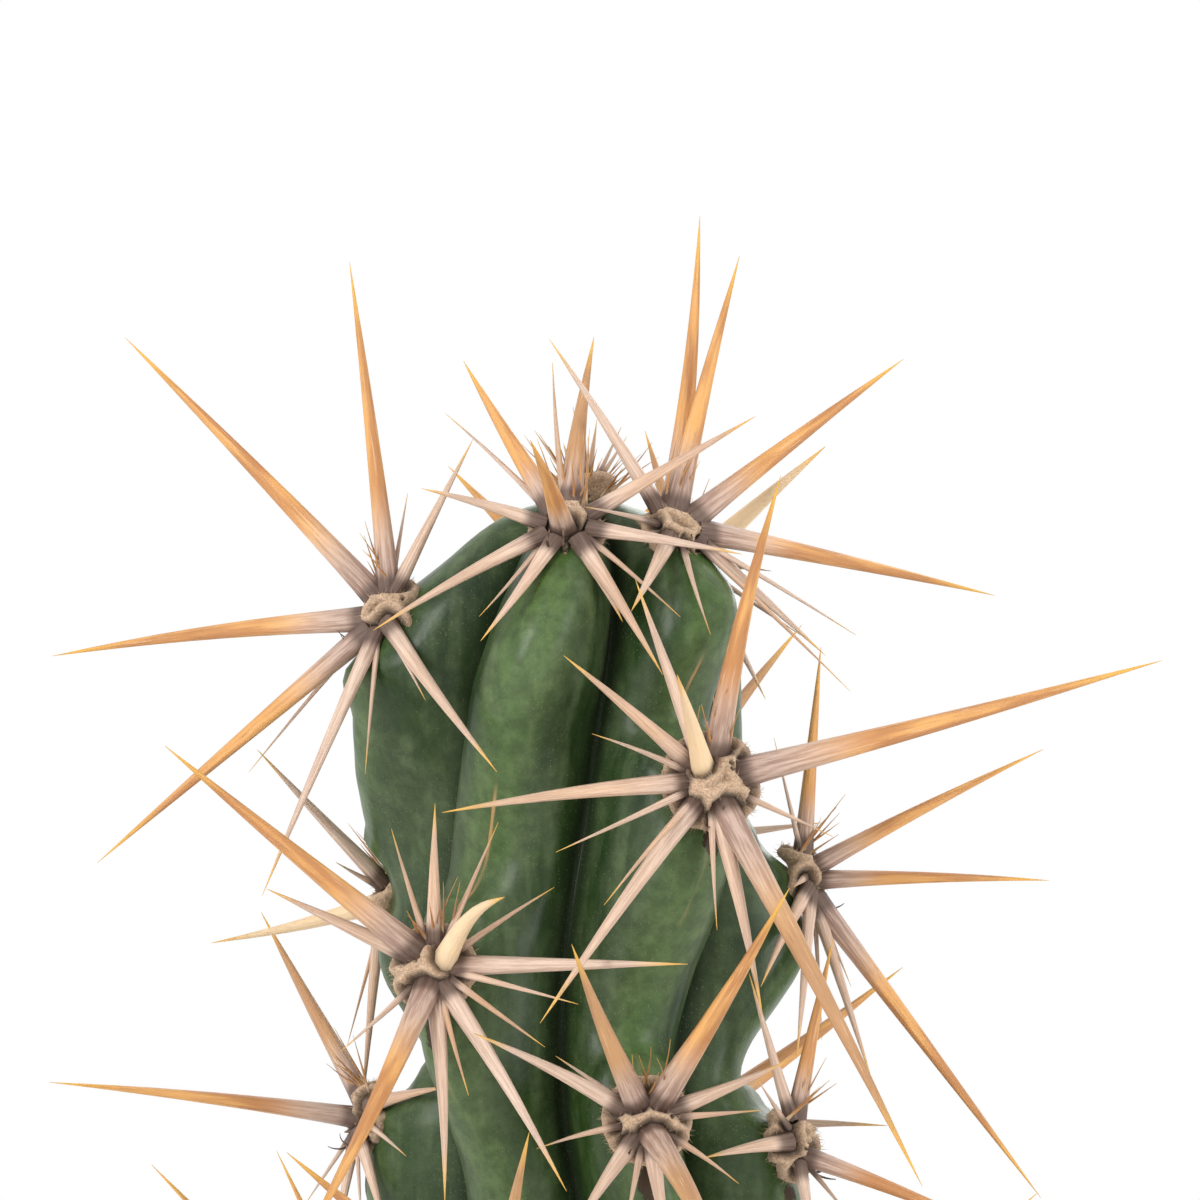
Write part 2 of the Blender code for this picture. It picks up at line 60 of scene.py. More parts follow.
# %% A short hand for nodes
class Tree:
    """A node tree being written. Each call adds nodes and returns the socket to read."""

    def __init__(self, group):
        self.group = group

    def add(self, kind, inputs=None, **settings):
        node = self.group.nodes.new(kind)
        for key, value in settings.items():
            setattr(node, key, value)
        for key, value in (inputs or {}).items():
            socket = node.inputs[key]
            if isinstance(value, bpy.types.NodeSocket):
                self.group.links.new(value, socket)
            else:
                socket.default_value = value
        return node

    def math(self, operation, a, b=0.0):
        return self.add("ShaderNodeMath", {0: a, 1: b}, operation=operation).outputs[0]

    def sum(self, *terms):
        total = terms[0]
        for term in terms[1:]:
            total = self.math("ADD", total, term)
        return total

    def product(self, *factors):
        total = factors[0]
        for factor in factors[1:]:
            total = self.math("MULTIPLY", total, factor)
        return total

    def vector(self, operation, a, b=(0, 0, 0)):
        node = self.add("ShaderNodeVectorMath", {0: a, 1: b}, operation=operation)
        single = operation in ("DOT_PRODUCT", "LENGTH", "DISTANCE")
        return node.outputs["Value" if single else "Vector"]

    def scaled(self, vector, by):
        node = self.add("ShaderNodeVectorMath", {0: vector, "Scale": by}, operation="SCALE")
        return node.outputs["Vector"]

    def xyz(self, vector):
        return self.add("ShaderNodeSeparateXYZ", {0: vector}).outputs

    def join(self, x, y, z):
        return self.add("ShaderNodeCombineXYZ", {0: x, 1: y, 2: z}).outputs[0]

    def ramp(self, value, low, high, start=0.0, end=1.0, smooth=True):
        """start at low and end at high, held beyond them."""
        node = self.add("ShaderNodeMapRange", {0: value, 1: low, 2: high, 3: start, 4: end})
        node.interpolation_type = "SMOOTHSTEP" if smooth else "LINEAR"
        return node.outputs[0]

    def blend(self, share, a, b):
        node = self.add("ShaderNodeMix", data_type="RGBA")
        for socket, value in zip((node.inputs[0], node.inputs[6], node.inputs[7]), (share, a, b)):
            if isinstance(value, bpy.types.NodeSocket):
                self.group.links.new(value, socket)
            else:
                socket.default_value = value if socket.type == "VALUE" else (*value, 1)
        return node.outputs[2]

    def noise(self, where, size, detail=2.0, roughness=0.5):
        """Soft random values whose patches are about size across."""
        return self.add("ShaderNodeTexNoise", {
            "Vector": where, "Scale": 1 / size, "Detail": detail,
            "Roughness": roughness}).outputs[0]

    def from_axis(self, place):
        """How far a place is from the upright axis through the origin."""
        x, y, _ = self.xyz(place)
        return self.math("SQRT", self.sum(self.product(x, x), self.product(y, y)))

    def position(self):
        return self.add("GeometryNodeInputPosition").outputs[0]

    def named(self, name, kind="FLOAT"):
        """What the geometry carries under a name."""
        return self.add("GeometryNodeInputNamedAttribute", {"Name": name},
                        data_type=kind).outputs[0]

    def store(self, geometry, name, value, kind="FLOAT"):
        """The geometry, carrying a value under a name at each point."""
        return self.add("GeometryNodeStoreNamedAttribute", {
            0: geometry, "Name": name, "Value": value},
            data_type=kind, domain="POINT").outputs[0]

    def dice(self, low, high, seed):
        """A number or a vector between two others, thrown anew for each point."""
        if isinstance(low, tuple):
            return self.add("FunctionNodeRandomValue", {0: low, 1: high, "Seed": seed},
                            data_type="FLOAT_VECTOR").outputs[0]
        return self.add("FunctionNodeRandomValue", {2: low, 3: high, "Seed": seed}).outputs[1]

    def move(self, geometry, **way):
        """The geometry with its points at a Position, or moved by an Offset."""
        return self.add("GeometryNodeSetPosition", {0: geometry, **way}).outputs[0]

    def put_out(self, geometry, material, gives, smooth=False):
        """Makes instances real, gives them a finish and hands them out of the tree."""
        if smooth:
            geometry = self.add("GeometryNodeSetShadeSmooth", {0: geometry}).outputs[0]
        geometry = self.add("GeometryNodeRealizeInstances", {0: geometry}).outputs[0]
        finished = self.add("GeometryNodeSetMaterial", {0: geometry, "Material": material})
        self.group.links.new(finished.outputs[0], gives)


def new_group(name, kind, takes, gives):
    """An empty node group with named sockets: takes and gives are {name: (type, default)}."""
    group = bpy.data.node_groups.new(name, kind)
    for way, sockets in (("INPUT", takes), ("OUTPUT", gives)):
        for socket_name, (socket_type, default) in sockets.items():
            socket = group.interface.new_socket(
                socket_name, in_out=way, socket_type="NodeSocket" + socket_type)
            if default is not None:
                socket.default_value = default
    tree = Tree(group)
    return tree, tree.add("NodeGroupInput").outputs, tree.add("NodeGroupOutput").inputs


# %% [markdown]
# ## Running a geometry tree
# A geometry tree lives on a modifier. The export that follows wants plain meshes, so each tree is
# run once on a helper object, its result is copied out as a mesh, and the helper is removed.
# The sizes go in by the socket's identifier before anything is evaluated.

# %% Grow a mesh with a tree
def link(name, mesh):
    made = bpy.data.objects.new(name, mesh)
    bpy.context.scene.collection.objects.link(made)
    return made


def grow(name, mesh, group, **sizes):
    """The plain mesh object that a geometry tree makes of a mesh."""
    helper = link(name + "_helper", mesh)
    modifier = helper.modifiers.new("grow", "NODES")
    modifier.node_group = group
    for socket in group.interface.items_tree:
        if socket.in_out == "INPUT" and socket.name in sizes:
            modifier[socket.identifier] = sizes[socket.name]
    depsgraph = bpy.context.evaluated_depsgraph_get()
    grown = bpy.data.meshes.new_from_object(
        helper.evaluated_get(depsgraph), preserve_all_data_layers=True, depsgraph=depsgraph)
    bpy.data.objects.remove(helper)
    grown.name = name
    made = link(name, grown)
    print(f"{name}: {len(grown.vertices)} vertices, "
          f"{sum(len(p.vertices) - 2 for p in grown.polygons)} triangles")
    return made


def dotted(name, points, edges=(), **values):
    """A mesh of bare points and edges that carries one number or vector for each point."""
    mesh = bpy.data.meshes.new(name)
    mesh.from_pydata([tuple(p) for p in points], list(edges), [])
    for key, rows in values.items():
        flat = np.array([tuple(r) if hasattr(r, "__len__") else r for r in rows], np.float32)
        kind, field = ("FLOAT_VECTOR", "vector") if flat.ndim == 2 else ("FLOAT", "value")
        mesh.attributes.new(key, kind, "POINT").data.foreach_set(field, flat.ravel())
    return mesh


# %% [markdown]
# ## How the plant grows
# A columnar cactus adds one areole after another to each rib as its tip rises. Between two areoles
# the rib swells and thins again, and its crest swings to one side or the other. The measured
# model follows that rule, so this cell states the same rule, and a finer skin follows from it.
# Azimuths are in degrees round +Z: 0 faces -Y and 90 faces +X. Drops are measured from the tip.

# %% The rule of growth
Areole = namedtuple("Areole", "drop azimuth facing rise fullness waist", defaults=(1.0, 1.0))
POT_HEIGHT = 0.125
SOIL_Z = 0.111
STEM_HEIGHT = 0.300
STEM_BURIED = 0.040
CREST_RADIUS = 0.0298
WAIST_RADIUS = 0.0212
GROOVE_RADIUS = 0.0155
DOME_HEIGHT = 0.026
FOOT_TAPER = 0.030
FOOT_SHARE = 0.80
RIB_ROUNDING = 0.95
FULL_PHASE, WAIST_PHASE, AREOLE_SWELL = 0.22, 0.76, 0.88
RIBS = "abcde"
TIP_SPACING = 0.039
RIB_WANDER = 9.0
LOWEST_AREOLE = 0.047
OLDER_AREOLES = 4
OLDER_RISE = 15
YOUNG_AREOLES = {
    "a": (Areole(0.0048, -8, -5, 45), Areole(0.061, -42, -20, 12), Areole(0.106, -24, -20, 15)),
    "b": (Areole(0.0050, 42, 40, 45), Areole(0.037, 34, 15, 15), Areole(0.080, 16, 5, 20)),
    "c": (Areole(0.0095, 128, 120, 40, 0.2), Areole(0.051, 96, 80, 15), Areole(0.085, 68, 70, 15)),
    "d": (Areole(0.0120, 185, 185, 40), Areole(0.048, 165, 165, 18), Areole(0.088, 154, 154, 15)),
    "e": (Areole(0.0157, 284, 300, 24, 1.3, 0.5), Areole(0.054, 244, 250, 15, 1.0, 0),
          Areole(0.083, 265, 280, 20)),
}
MEAN_AZIMUTH = {"a": -32, "b": 38, "c": 102, "d": 174, "e": 252}
TIP_Z = SOIL_Z + STEM_HEIGHT
BURIED_DROP = STEM_HEIGHT + STEM_BURIED


def smooth_step(share):
    return share * share * (3 - 2 * share)


def areole_row(rib):
    """Every areole of a rib, from the tip down to the lowest."""
    row = list(YOUNG_AREOLES[rib])
    youngest = row[-1].drop
    spacing = (STEM_HEIGHT - LOWEST_AREOLE - youngest) / OLDER_AREOLES
    side = 1 if row[-1].azimuth < MEAN_AZIMUTH[rib] else -1
    for number in range(1, OLDER_AREOLES + 1):
        azimuth = MEAN_AZIMUTH[rib] + side * RIB_WANDER
        row.append(Areole(youngest + number * spacing, azimuth, azimuth, OLDER_RISE))
        side = -side
    return row


AREOLES = {rib: areole_row(rib) for rib in RIBS}


def swell(phase):
    """How full a rib is between two areoles: 1 just below the upper one, 0 at its waist."""
    if phase < FULL_PHASE:
        return AREOLE_SWELL + (1 - AREOLE_SWELL) * smooth_step(phase / FULL_PHASE)
    if phase < WAIST_PHASE:
        return 1 - smooth_step((phase - FULL_PHASE) / (WAIST_PHASE - FULL_PHASE))
    return AREOLE_SWELL * smooth_step((phase - WAIST_PHASE) / (1 - WAIST_PHASE))


def along_rib(rib, drop):
    """(azimuth, radius) of a rib's crest at a drop, before the tip and the foot narrow it."""
    mean, lowest = MEAN_AZIMUTH[rib], AREOLES[rib][-1].drop
    first = AREOLES[rib][0]
    row = [first._replace(drop=first.drop - TIP_SPACING, fullness=1.0), *AREOLES[rib]]
    row += [Areole(lowest + n * TIP_SPACING, mean, mean, 0) for n in (1, 2, 3, 4)]
    for above, below in zip(row, row[1:]):
        if drop < below.drop:
            break
    phase = min(1.0, (drop - above.drop) / (below.drop - above.drop))
    azimuth = above.azimuth + (below.azimuth - above.azimuth) * smooth_step(phase)
    if phase < FULL_PHASE:
        start, end, way = min(1.0, above.fullness), above.fullness, phase / FULL_PHASE
    else:
        start, end = above.fullness, min(1.0, below.fullness)
        way = max(0.0, phase - WAIST_PHASE) / (1 - WAIST_PHASE)
    full = start + (end - start) * smooth_step(way)
    shape = swell(phase)
    if shape < AREOLE_SWELL:
        shape = AREOLE_SWELL + (shape - AREOLE_SWELL) * below.waist
    return azimuth, WAIST_RADIUS + (CREST_RADIUS - WAIST_RADIUS) * full * shape


def girth(drop):
    """Overall share of the stem's full radius: the round tip and the tapered foot."""
    share = 1.0
    if drop < DOME_HEIGHT:
        share = math.sqrt(max(0.0, 1 - (1 - drop / DOME_HEIGHT) ** 2))
    foot = drop - (STEM_HEIGHT - FOOT_TAPER)
    if foot > 0:
        share *= 1 - (1 - FOOT_SHARE) * smooth_step(min(1.0, foot / FOOT_TAPER))
    return share


def crest_point(rib, drop):
    azimuth, radius = along_rib(rib, drop)
    angle, reach = math.radians(azimuth), radius * girth(drop)
    return Vector((reach * math.sin(angle), -reach * math.cos(angle), TIP_Z - drop))


def areole_axes(areole):
    """(out, up, right) of an areole: right is to the right of someone facing it."""
    facing, rise = math.radians(areole.facing), math.radians(areole.rise)
    out = Vector((math.sin(facing) * math.cos(rise), -math.cos(facing) * math.cos(rise),
                  math.sin(rise)))
    up = (Vector((0, 0, 1)) - out * out.z).normalized()
    return out, up, up.cross(out)


SEATS = {
    f"{rib}{number}": (crest_point(rib, areole.drop), *areole_axes(areole))
    for rib in RIBS for number, areole in enumerate(AREOLES[rib], 1)
}


# %% [markdown]
# ## Two effects that several finishes share
# Plant skin, spines, wool and clay all carry fine specks, and all are blotched at a larger scale.
# Each effect is one shader group, used with other numbers in each material. A group gives out
# only masks, so the shader itself stays in its material.

# %% Speck and blotch groups
def make_specks():
    """Small round dots, of uneven strength, as a mask."""
    tree, takes, gives = new_group(
        "specks", "ShaderNodeTree",
        {"Where": ("Vector", None), "Spacing": ("Float", 0.0007), "Dot": ("Float", 0.25)},
        {"Mask": ("Float", None)})
    scale = tree.math("DIVIDE", 1.0, takes["Spacing"])
    dots = tree.add("ShaderNodeTexVoronoi", {"Vector": takes["Where"], "Scale": scale})
    soft = tree.ramp(dots.outputs["Distance"], 0.0, takes["Dot"], 1.0, 0.0)
    pick = tree.ramp(tree.xyz(dots.outputs["Color"])[0], 0.35, 1.0)
    tree.group.links.new(tree.product(soft, pick), gives["Mask"])
    return tree.group


def make_blotches():
    """Large soft patches with a ragged edge, as a mask."""
    tree, takes, gives = new_group(
        "blotches", "ShaderNodeTree",
        {"Where": ("Vector", None), "Size": ("Float", 0.02), "Amount": ("Float", 0.5),
         "Edge": ("Float", 0.1)},
        {"Mask": ("Float", None)})
    scale = tree.math("DIVIDE", 1.0, takes["Size"])
    patch = tree.add("ShaderNodeTexNoise", {
        "Vector": takes["Where"], "Scale": scale, "Detail": 5.0, "Roughness": 0.6}).outputs[0]
    level = tree.math("SUBTRACT", 0.75, tree.product(takes["Amount"], 0.5))
    low = tree.math("SUBTRACT", level, takes["Edge"])
    high = tree.sum(level, takes["Edge"])
    tree.group.links.new(tree.ramp(patch, low, high), gives["Mask"])
    return tree.group


SPECKS, BLOTCHES = make_specks(), make_blotches()


def use(tree, group, **inputs):
    """Places a shared effect in a material with its own values and returns its mask."""
    node = tree.add("ShaderNodeGroup", node_tree=group)
    for key, value in inputs.items():
        if isinstance(value, bpy.types.NodeSocket):
            tree.group.links.new(value, node.inputs[key])
        else:
            node.inputs[key].default_value = value
    return node.outputs[0]


def new_material(name, **plain):
    """(material, its tree, its shader, object coordinates), with the shader's plain values set."""
    made = bpy.data.materials.new(name)
    made.use_nodes = True
    tree = Tree(made.node_tree)
    shader = made.node_tree.nodes["Principled BSDF"]
    for key, value in plain.items():
        shader.inputs[key.replace("_", " ")].default_value = value
    where = tree.add("ShaderNodeTexCoord").outputs["Object"]
    return made, tree, shader, where


def finish_surface(tree, shader, colour, roughness=None, height=None, depth=0.0):
    """Wires a material's changing values into its shader, with height as a bump."""
    tree.group.links.new(colour, shader.inputs["Base Color"])
    if roughness is not None:
        tree.group.links.new(roughness, shader.inputs["Roughness"])
    if height is not None:
        bump = tree.add("ShaderNodeBump", {"Distance": depth, "Height": height, "Strength": 1.0})
        tree.group.links.new(bump.outputs[0], shader.inputs["Normal"])


def coats(tree, colour, *layers):
    """A colour under layers of (share, colour), the last on top."""
    for share, over in layers:
        colour = tree.blend(share, colour, over)
    return colour


def attribute(tree, name, part="Fac"):
    return tree.add("ShaderNodeAttribute", attribute_name=name).outputs[part]


# %% [markdown]
# ## The skin
# A cactus keeps its green layer under a waxy skin. The crests are painted lighter, as painted
# light, the grooves nearly black, as painted shade, and rubbed wax leaves grey clouds on it. Pale
# dots as fine as dust are its pores. Below the older areoles is a brown scar, and along some
# crests runs a corky line.
# All of it is drawn from what the stem mesh carries: how near to a crest a point is, and where it
# lies from the nearest areole.

# %% Waxy green skin
def make_skin():
    made, tree, shader, where = new_material(
        "waxy_skin", Specular_IOR_Level=0.22, Coat_Weight=0.15, Coat_Roughness=0.2)
    ridge, beside = attribute(tree, "ridge"), attribute(tree, "beside_crest")
    tall = tree.vector("MULTIPLY", where, (1, 1, 0.35))
    broad = tree.noise(where, 0.018, 3)
    fine = tree.noise(where, 0.0022, 4, 0.65)
    ragged = tree.noise(where, 0.0016, 4, 0.7)
    cloud = use(tree, BLOTCHES, Where=tall, Size=0.011, Amount=0.5, Edge=0.10)
    streak = tree.noise(tree.vector("MULTIPLY", where, (1, 1, 0.12)), 0.0032, 3)
    # Deep in the grooves the skin is painted near black: painted shade. The same mask makes it
    # rougher.
    groove_shade = tree.ramp(ridge, 0.0, 0.42, 1.0, 0.0)
    pores = use(tree, SPECKS, Where=where, Spacing=0.00036, Dot=0.37)
    dusty = tree.ramp(tree.noise(where, 0.006, 3), 0.35, 0.7, 0.14, 0.62)
    scar = tree.ramp(tree.sum(attribute(tree, "wound"), tree.product(ragged, 1.5)), 1.30, 1.48)
    corky = tree.ramp(tree.noise(tree.vector("MULTIPLY", where, (1, 1, 0.3)), 0.012, 2),
                      0.55, 0.66)
    line = tree.sum(tree.math("ABSOLUTE", beside), tree.product(ragged, 0.0003))
    cork = tree.product(tree.ramp(line, 0.0003, 0.00055, 1.0, 0.0), corky)
    low = tree.ramp(tree.xyz(where)[2], SOIL_Z + 0.003, SOIL_Z + 0.075, 1.0, 0.0)
    old = tree.product(low, use(tree, BLOTCHES, Where=tall, Size=0.016, Amount=0.62, Edge=0.09))
    flesh = tree.blend(tree.ramp(broad, 0.35, 0.65), (0.008, 0.024, 0.004), (0.021, 0.049, 0.008))
    bark = tree.blend(tree.ramp(ragged, 0.35, 0.65), (0.105, 0.068, 0.034), (0.27, 0.20, 0.115))
    green = coats(
        tree, flesh,
        # A lighter band on each crest: painted light.
        (tree.ramp(ridge, 0.76, 1.0, 0, 0.85), (0.074, 0.135, 0.034)),
        (tree.product(cloud, 0.34), (0.115, 0.155, 0.070)),
        (tree.ramp(streak, 0.42, 0.72, 0, 0.34), (0.15, 0.205, 0.095)),
        (tree.ramp(fine, 0.3, 0.7, 0.0, 0.5), (0.007, 0.022, 0.004)),
        # Near-black grooves: painted shade.
        (tree.product(groove_shade, 0.9), (0.006, 0.013, 0.003)),
        (tree.product(pores, dusty), (0.26, 0.31, 0.15)),
        (scar, (0.040, 0.022, 0.010)),
        (cork, (0.33, 0.22, 0.085)),
        (tree.product(old, 0.9), bark))
    height = tree.sum(tree.product(fine, 0.6), tree.product(pores, 0.25),
                      tree.product(scar, 0.8), tree.product(cork, 0.8),
                      tree.product(old, ragged, 1.2))
    rough = tree.sum(tree.ramp(cloud, 0, 1, 0.36, 0.50), tree.product(scar, 0.35),
                     tree.product(old, 0.4),
                     tree.product(groove_shade, 0.45))
    finish_surface(tree, shader, green, rough, height, 0.00022)
    return made


SKIN = make_skin()

# %% [markdown]
# ## The stem
# The stem is a main piece whose shape follows a rule, so a geometry tree makes it. The script
# hands the tree one point for each rib at each height: how far out its crest is, and at what
# azimuth. The tree lays a grid round the five ribs, bends it into their rounded section, welds
# the seam and both ends, and presses in the brow above each areole.

# %% The stem's tree
BROW_ABOVE, BROW_WIDTH = 0.0085, 0.0021  # how far above an areole its brow is, and how wide
BROW_ARCH = 55.0  # how fast the brow bends down at its sides
END_REACH = 0.004  # the tip and the foot are left smooth over this depth


def make_stem_tree():
    tree, takes, gives = new_group(
        "ribbed_stem", "GeometryNodeTree",
        {"Crests": ("Geometry", None), "Areoles": ("Object", None),
         "Ribs": ("Int", 5), "Columns per rib": ("Int", 32), "Rings": ("Int", 100),
         "Groove radius": ("Float", 0.0155), "Rib rounding": ("Float", 0.95),
         "Brow depth": ("Float", 0.0008), "Unevenness": ("Float", 0.0004),
         "Weld distance": ("Float", 0.00002)},
        {"Stem": ("Geometry", None)})
    columns = tree.product(takes["Ribs"], takes["Columns per rib"])
    grid = tree.add("GeometryNodeMeshGrid", {
        "Size X": 1.0, "Size Y": 1.0, "Vertices X": tree.sum(columns, 1),
        "Vertices Y": takes["Rings"]}).outputs[0]
    place = tree.xyz(tree.position())
    around = tree.product(tree.sum(place[0], 0.5), takes["Ribs"])
    last_ring = tree.math("SUBTRACT", takes["Rings"], 1)
    ring = tree.math("ROUND", tree.product(tree.sum(place[1], 0.5), last_ring))
    rib = tree.math("MINIMUM", tree.math("FLOOR", tree.sum(around, 0.0001)),
                    tree.math("SUBTRACT", takes["Ribs"], 1))
    share = tree.math("MAXIMUM", tree.math("SUBTRACT", around, rib), 0.0)
    per_ring = tree.sum(takes["Ribs"], 1)
    index = tree.sum(tree.product(ring, per_ring), rib)

    def sample(name, at):
        return tree.add("GeometryNodeSampleIndex", {
            "Geometry": takes["Crests"], "Value": tree.named(name), "Index": at},
            data_type="FLOAT", domain="POINT").outputs[0]

    following = tree.sum(index, 1)
    azimuth_1, azimuth_2 = sample("azimuth", index), sample("azimuth", following)
    crest_1, crest_2 = sample("reach", index), sample("reach", following)
    overall, drop = sample("overall", index), sample("drop", index)
    eased = tree.ramp(share, 0.0, 1.0)
    crest = tree.sum(crest_1, tree.product(tree.math("SUBTRACT", crest_2, crest_1), eased))
    section = tree.math("ABSOLUTE", tree.math("COSINE", tree.product(share, math.pi)))
    full = tree.math("POWER", section, takes["Rib rounding"])
    spread = tree.math("SUBTRACT", crest, takes["Groove radius"])
    radius = tree.product(tree.sum(takes["Groove radius"], tree.product(spread, full)), overall)
    angle = tree.sum(azimuth_1,
                     tree.product(tree.math("SUBTRACT", azimuth_2, azimuth_1), share))
    position = tree.join(
        tree.product(radius, tree.math("SINE", angle)),
        tree.product(radius, tree.math("COSINE", angle), -1.0),
        tree.math("SUBTRACT", TIP_Z, drop))
    side = tree.product(tree.math("PINGPONG", share, 0.5),
                        tree.math("SUBTRACT", azimuth_2, azimuth_1), radius)
    stem = tree.store(tree.store(grid, "ridge", section), "beside_crest", side)
    stem = tree.move(stem, Position=position)
    stem = tree.add("GeometryNodeMergeByDistance", {
        0: stem, "Distance": takes["Weld distance"]}).outputs[0]

    areoles = tree.add("GeometryNodeObjectInfo", {"Object": takes["Areoles"]}).outputs["Geometry"]
    nearest = tree.add("GeometryNodeSampleNearest", {0: areoles}, domain="POINT").outputs[0]

    def of_nearest(value):
        return tree.add("GeometryNodeSampleIndex", {
            "Geometry": areoles, "Value": value, "Index": nearest},
            data_type="FLOAT_VECTOR", domain="POINT").outputs[0]

    here = tree.position()
    offset = tree.vector("SUBTRACT", here, of_nearest(here))
    right, above = (
        tree.vector("DOT_PRODUCT", offset, of_nearest(tree.named(name, "FLOAT_VECTOR")))
        for name in ("right", "up"))
    sideways = tree.math("ABSOLUTE", right)
    depth = drop_of(tree, here)
    wound = tree.product(tree.ramp(above, -0.0130, -0.0080), tree.ramp(above, -0.0040, -0.0055),
                         tree.ramp(sideways, 0.0002, 0.0024, 1.0, 0.0),
                         tree.ramp(depth, 0.036, 0.041))
    stem = tree.store(stem, "wound", wound)
    arch = tree.sum(above, tree.product(sideways, sideways, BROW_ARCH))
    beside_arch = tree.math("ABSOLUTE", tree.math("SUBTRACT", arch, BROW_ABOVE))
    crease = tree.product(tree.ramp(beside_arch, 0.0, BROW_WIDTH, 1.0, 0.0),
                          tree.ramp(sideways, 0.004, 0.010, 1.0, 0.0))
    cushion = tree.ramp(tree.vector("LENGTH", offset), 0.0045, 0.0085, 1.0, 0.0)
    uneven = tree.math("SUBTRACT", tree.noise(here, 0.011, 2), 0.5)
    grown_up = tree.ramp(depth, 0.010, 0.028)
    moved = tree.sum(tree.product(uneven, takes["Unevenness"], 2.0),
                     tree.product(crease, grown_up, takes["Brow depth"], -1.0),
                     tree.product(cushion, grown_up, takes["Brow depth"], 0.6))
    ends = tree.product(tree.ramp(depth, 0.0, END_REACH),
                        tree.ramp(depth, BURIED_DROP - END_REACH, BURIED_DROP, 1, 0))
    normal = tree.add("GeometryNodeInputNormal").outputs[0]
    stem = tree.move(stem, Offset=tree.scaled(normal, tree.product(moved, ends)))
    tree.put_out(stem, SKIN, gives["Stem"], smooth=True)
    return tree.group


def drop_of(tree, place):
    return tree.math("SUBTRACT", TIP_Z, tree.xyz(place)[2])


# %% Grow the stem
DOME_RINGS = 26
YOUNG_STEP, OLD_STEP, YOUNG_DEPTH = 0.0011, 0.0020, 0.115


def ring_drops():
    """Heights of the grid's rings: crowded on the round tip, close where the plant is young."""
    quarter = math.pi / 2 / DOME_RINGS
    drops = [DOME_HEIGHT * (1 - math.cos(quarter * n)) for n in range(DOME_RINGS)]
    count = math.ceil((YOUNG_DEPTH - DOME_HEIGHT) / YOUNG_STEP)
    drops += list(np.linspace(DOME_HEIGHT, YOUNG_DEPTH, count, endpoint=False))
    count = math.ceil((BURIED_DROP - YOUNG_DEPTH) / OLD_STEP)
    drops += list(np.linspace(YOUNG_DEPTH, BURIED_DROP, count))
    return drops + [BURIED_DROP]


def crest_guide(drops):
    """One point for each rib at each ring, and the first rib again a full turn on."""
    rows = []
    for number, drop in enumerate(drops):
        overall = 0.0 if number == len(drops) - 1 else girth(drop)
        azimuths = []
        for rib in RIBS + RIBS[0]:
            azimuth, reach = along_rib(rib, drop)
            while azimuths and azimuth < azimuths[-1]:
                azimuth += 360
            azimuths.append(azimuth)
            rows.append((math.radians(azimuth), reach, overall, drop))
    azimuth, reach, overall, drop = zip(*rows)
    return dotted("crest_guide", [(0, 0, -d) for d in drop], azimuth=azimuth, reach=reach,
                  overall=overall, drop=drop)


areole_points = link("areole_points", dotted(
    "areole_points", [seat[0] for seat in SEATS.values()],
    out=[seat[1] for seat in SEATS.values()], up=[seat[2] for seat in SEATS.values()],
    right=[seat[3] for seat in SEATS.values()]))
drops = ring_drops()
stem = grow("stem_skin", crest_guide(drops), make_stem_tree(), Areoles=areole_points,
            Rings=len(drops), **{"Groove radius": GROOVE_RADIUS, "Rib rounding": RIB_ROUNDING})
print("stem height in mm:", round(stem.dimensions.z / MM, 1))


# %% [markdown]
# ## Finding the spines
# The model has each areole as one solid: a pad with its spines already joined to it. A spine there
# is a plain point with three or four corners halfway down, where its taper quickens. From that
# point and those corners this cell works back to the spine's own middle line: where it leaves the
# pad, which way it grows, and how far its weight lets it droop. A finer spine can then be grown
# on the same line.

# %% Read each spine's line from the model
Spine = namedtuple("Spine", "root growth length thickness out areole")
PAD_RADIUS, PAD_HEIGHT = 0.0051, 0.0034
SPINE_DROOP = 0.05
KNEE, KNEE_GIRTH = 0.5, 0.72
WELD = 0.000002
SHARPEST = math.cos(math.radians(16))


def spines_of(areole, out):
    bm = bmesh.new()
    bm.from_mesh(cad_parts["spines_" + areole].data)
    bmesh.ops.remove_doubles(bm, verts=bm.verts, dist=WELD)
    found = []
    for tip in bm.verts:
        ring = [edge.other_vert(tip).co for edge in tip.link_edges]
        if len(ring) not in (3, 4):
            continue
        knee = sum(ring, Vector()) / len(ring)
        ways = [(corner - tip.co).normalized() for corner in ring]
        mean = (knee - tip.co).normalized()
        if min(way.dot(mean) for way in ways) < SHARPEST:
            continue
        half = tip.co - knee
        length, growth = half.length / (1 - KNEE), half.normalized()
        for _ in range(4):
            droop = Vector((0, 0, SPINE_DROOP * length * (1 - abs(growth.z))))
            straight = (half + droop * (1 - KNEE ** 2)) / (1 - KNEE)
            length, growth = straight.length, straight.normalized()
        root = tip.co + droop - straight
        thickness = sum((corner - knee).length for corner in ring) / len(ring) / KNEE_GIRTH
        found.append(Spine(root.copy(), growth, length, thickness, out, areole))
    bm.free()
    return sorted(found, key=lambda spine: tuple(spine.root + spine.growth))


CROWN_SEAT = (Vector((0, 0, TIP_Z)), Vector((0, 0, 1)), Vector((0, -1, 0)), Vector((1, 0, 0)))
SEATS["crown"] = CROWN_SEAT
SPINES = [spine for name, seat in SEATS.items() for spine in spines_of(name, seat[1])]
counts = {name: sum(spine.areole == name for spine in SPINES) for name in SEATS}
print("spines found:", len(SPINES), counts)


# %% [markdown]
# ## New bristles
# Every areole keeps growing at its upper edge: a tuft of thin amber bristles stands there before
# they harden into spines. They are too fine for the measured model, so they are added here, on
# the same kind of line as the spines and within the spines' reach. The dice are seeded by the
# areole's name, so each tuft is its own and comes out the same each time.

# %% Add bristles to the list of spines
BRISTLES, CROWN_BRISTLES = 7, 26
BRISTLE_THICKNESS, BRISTLE_SHORTEST, BRISTLE_LONGEST = 0.00026, 0.0050, 0.0110


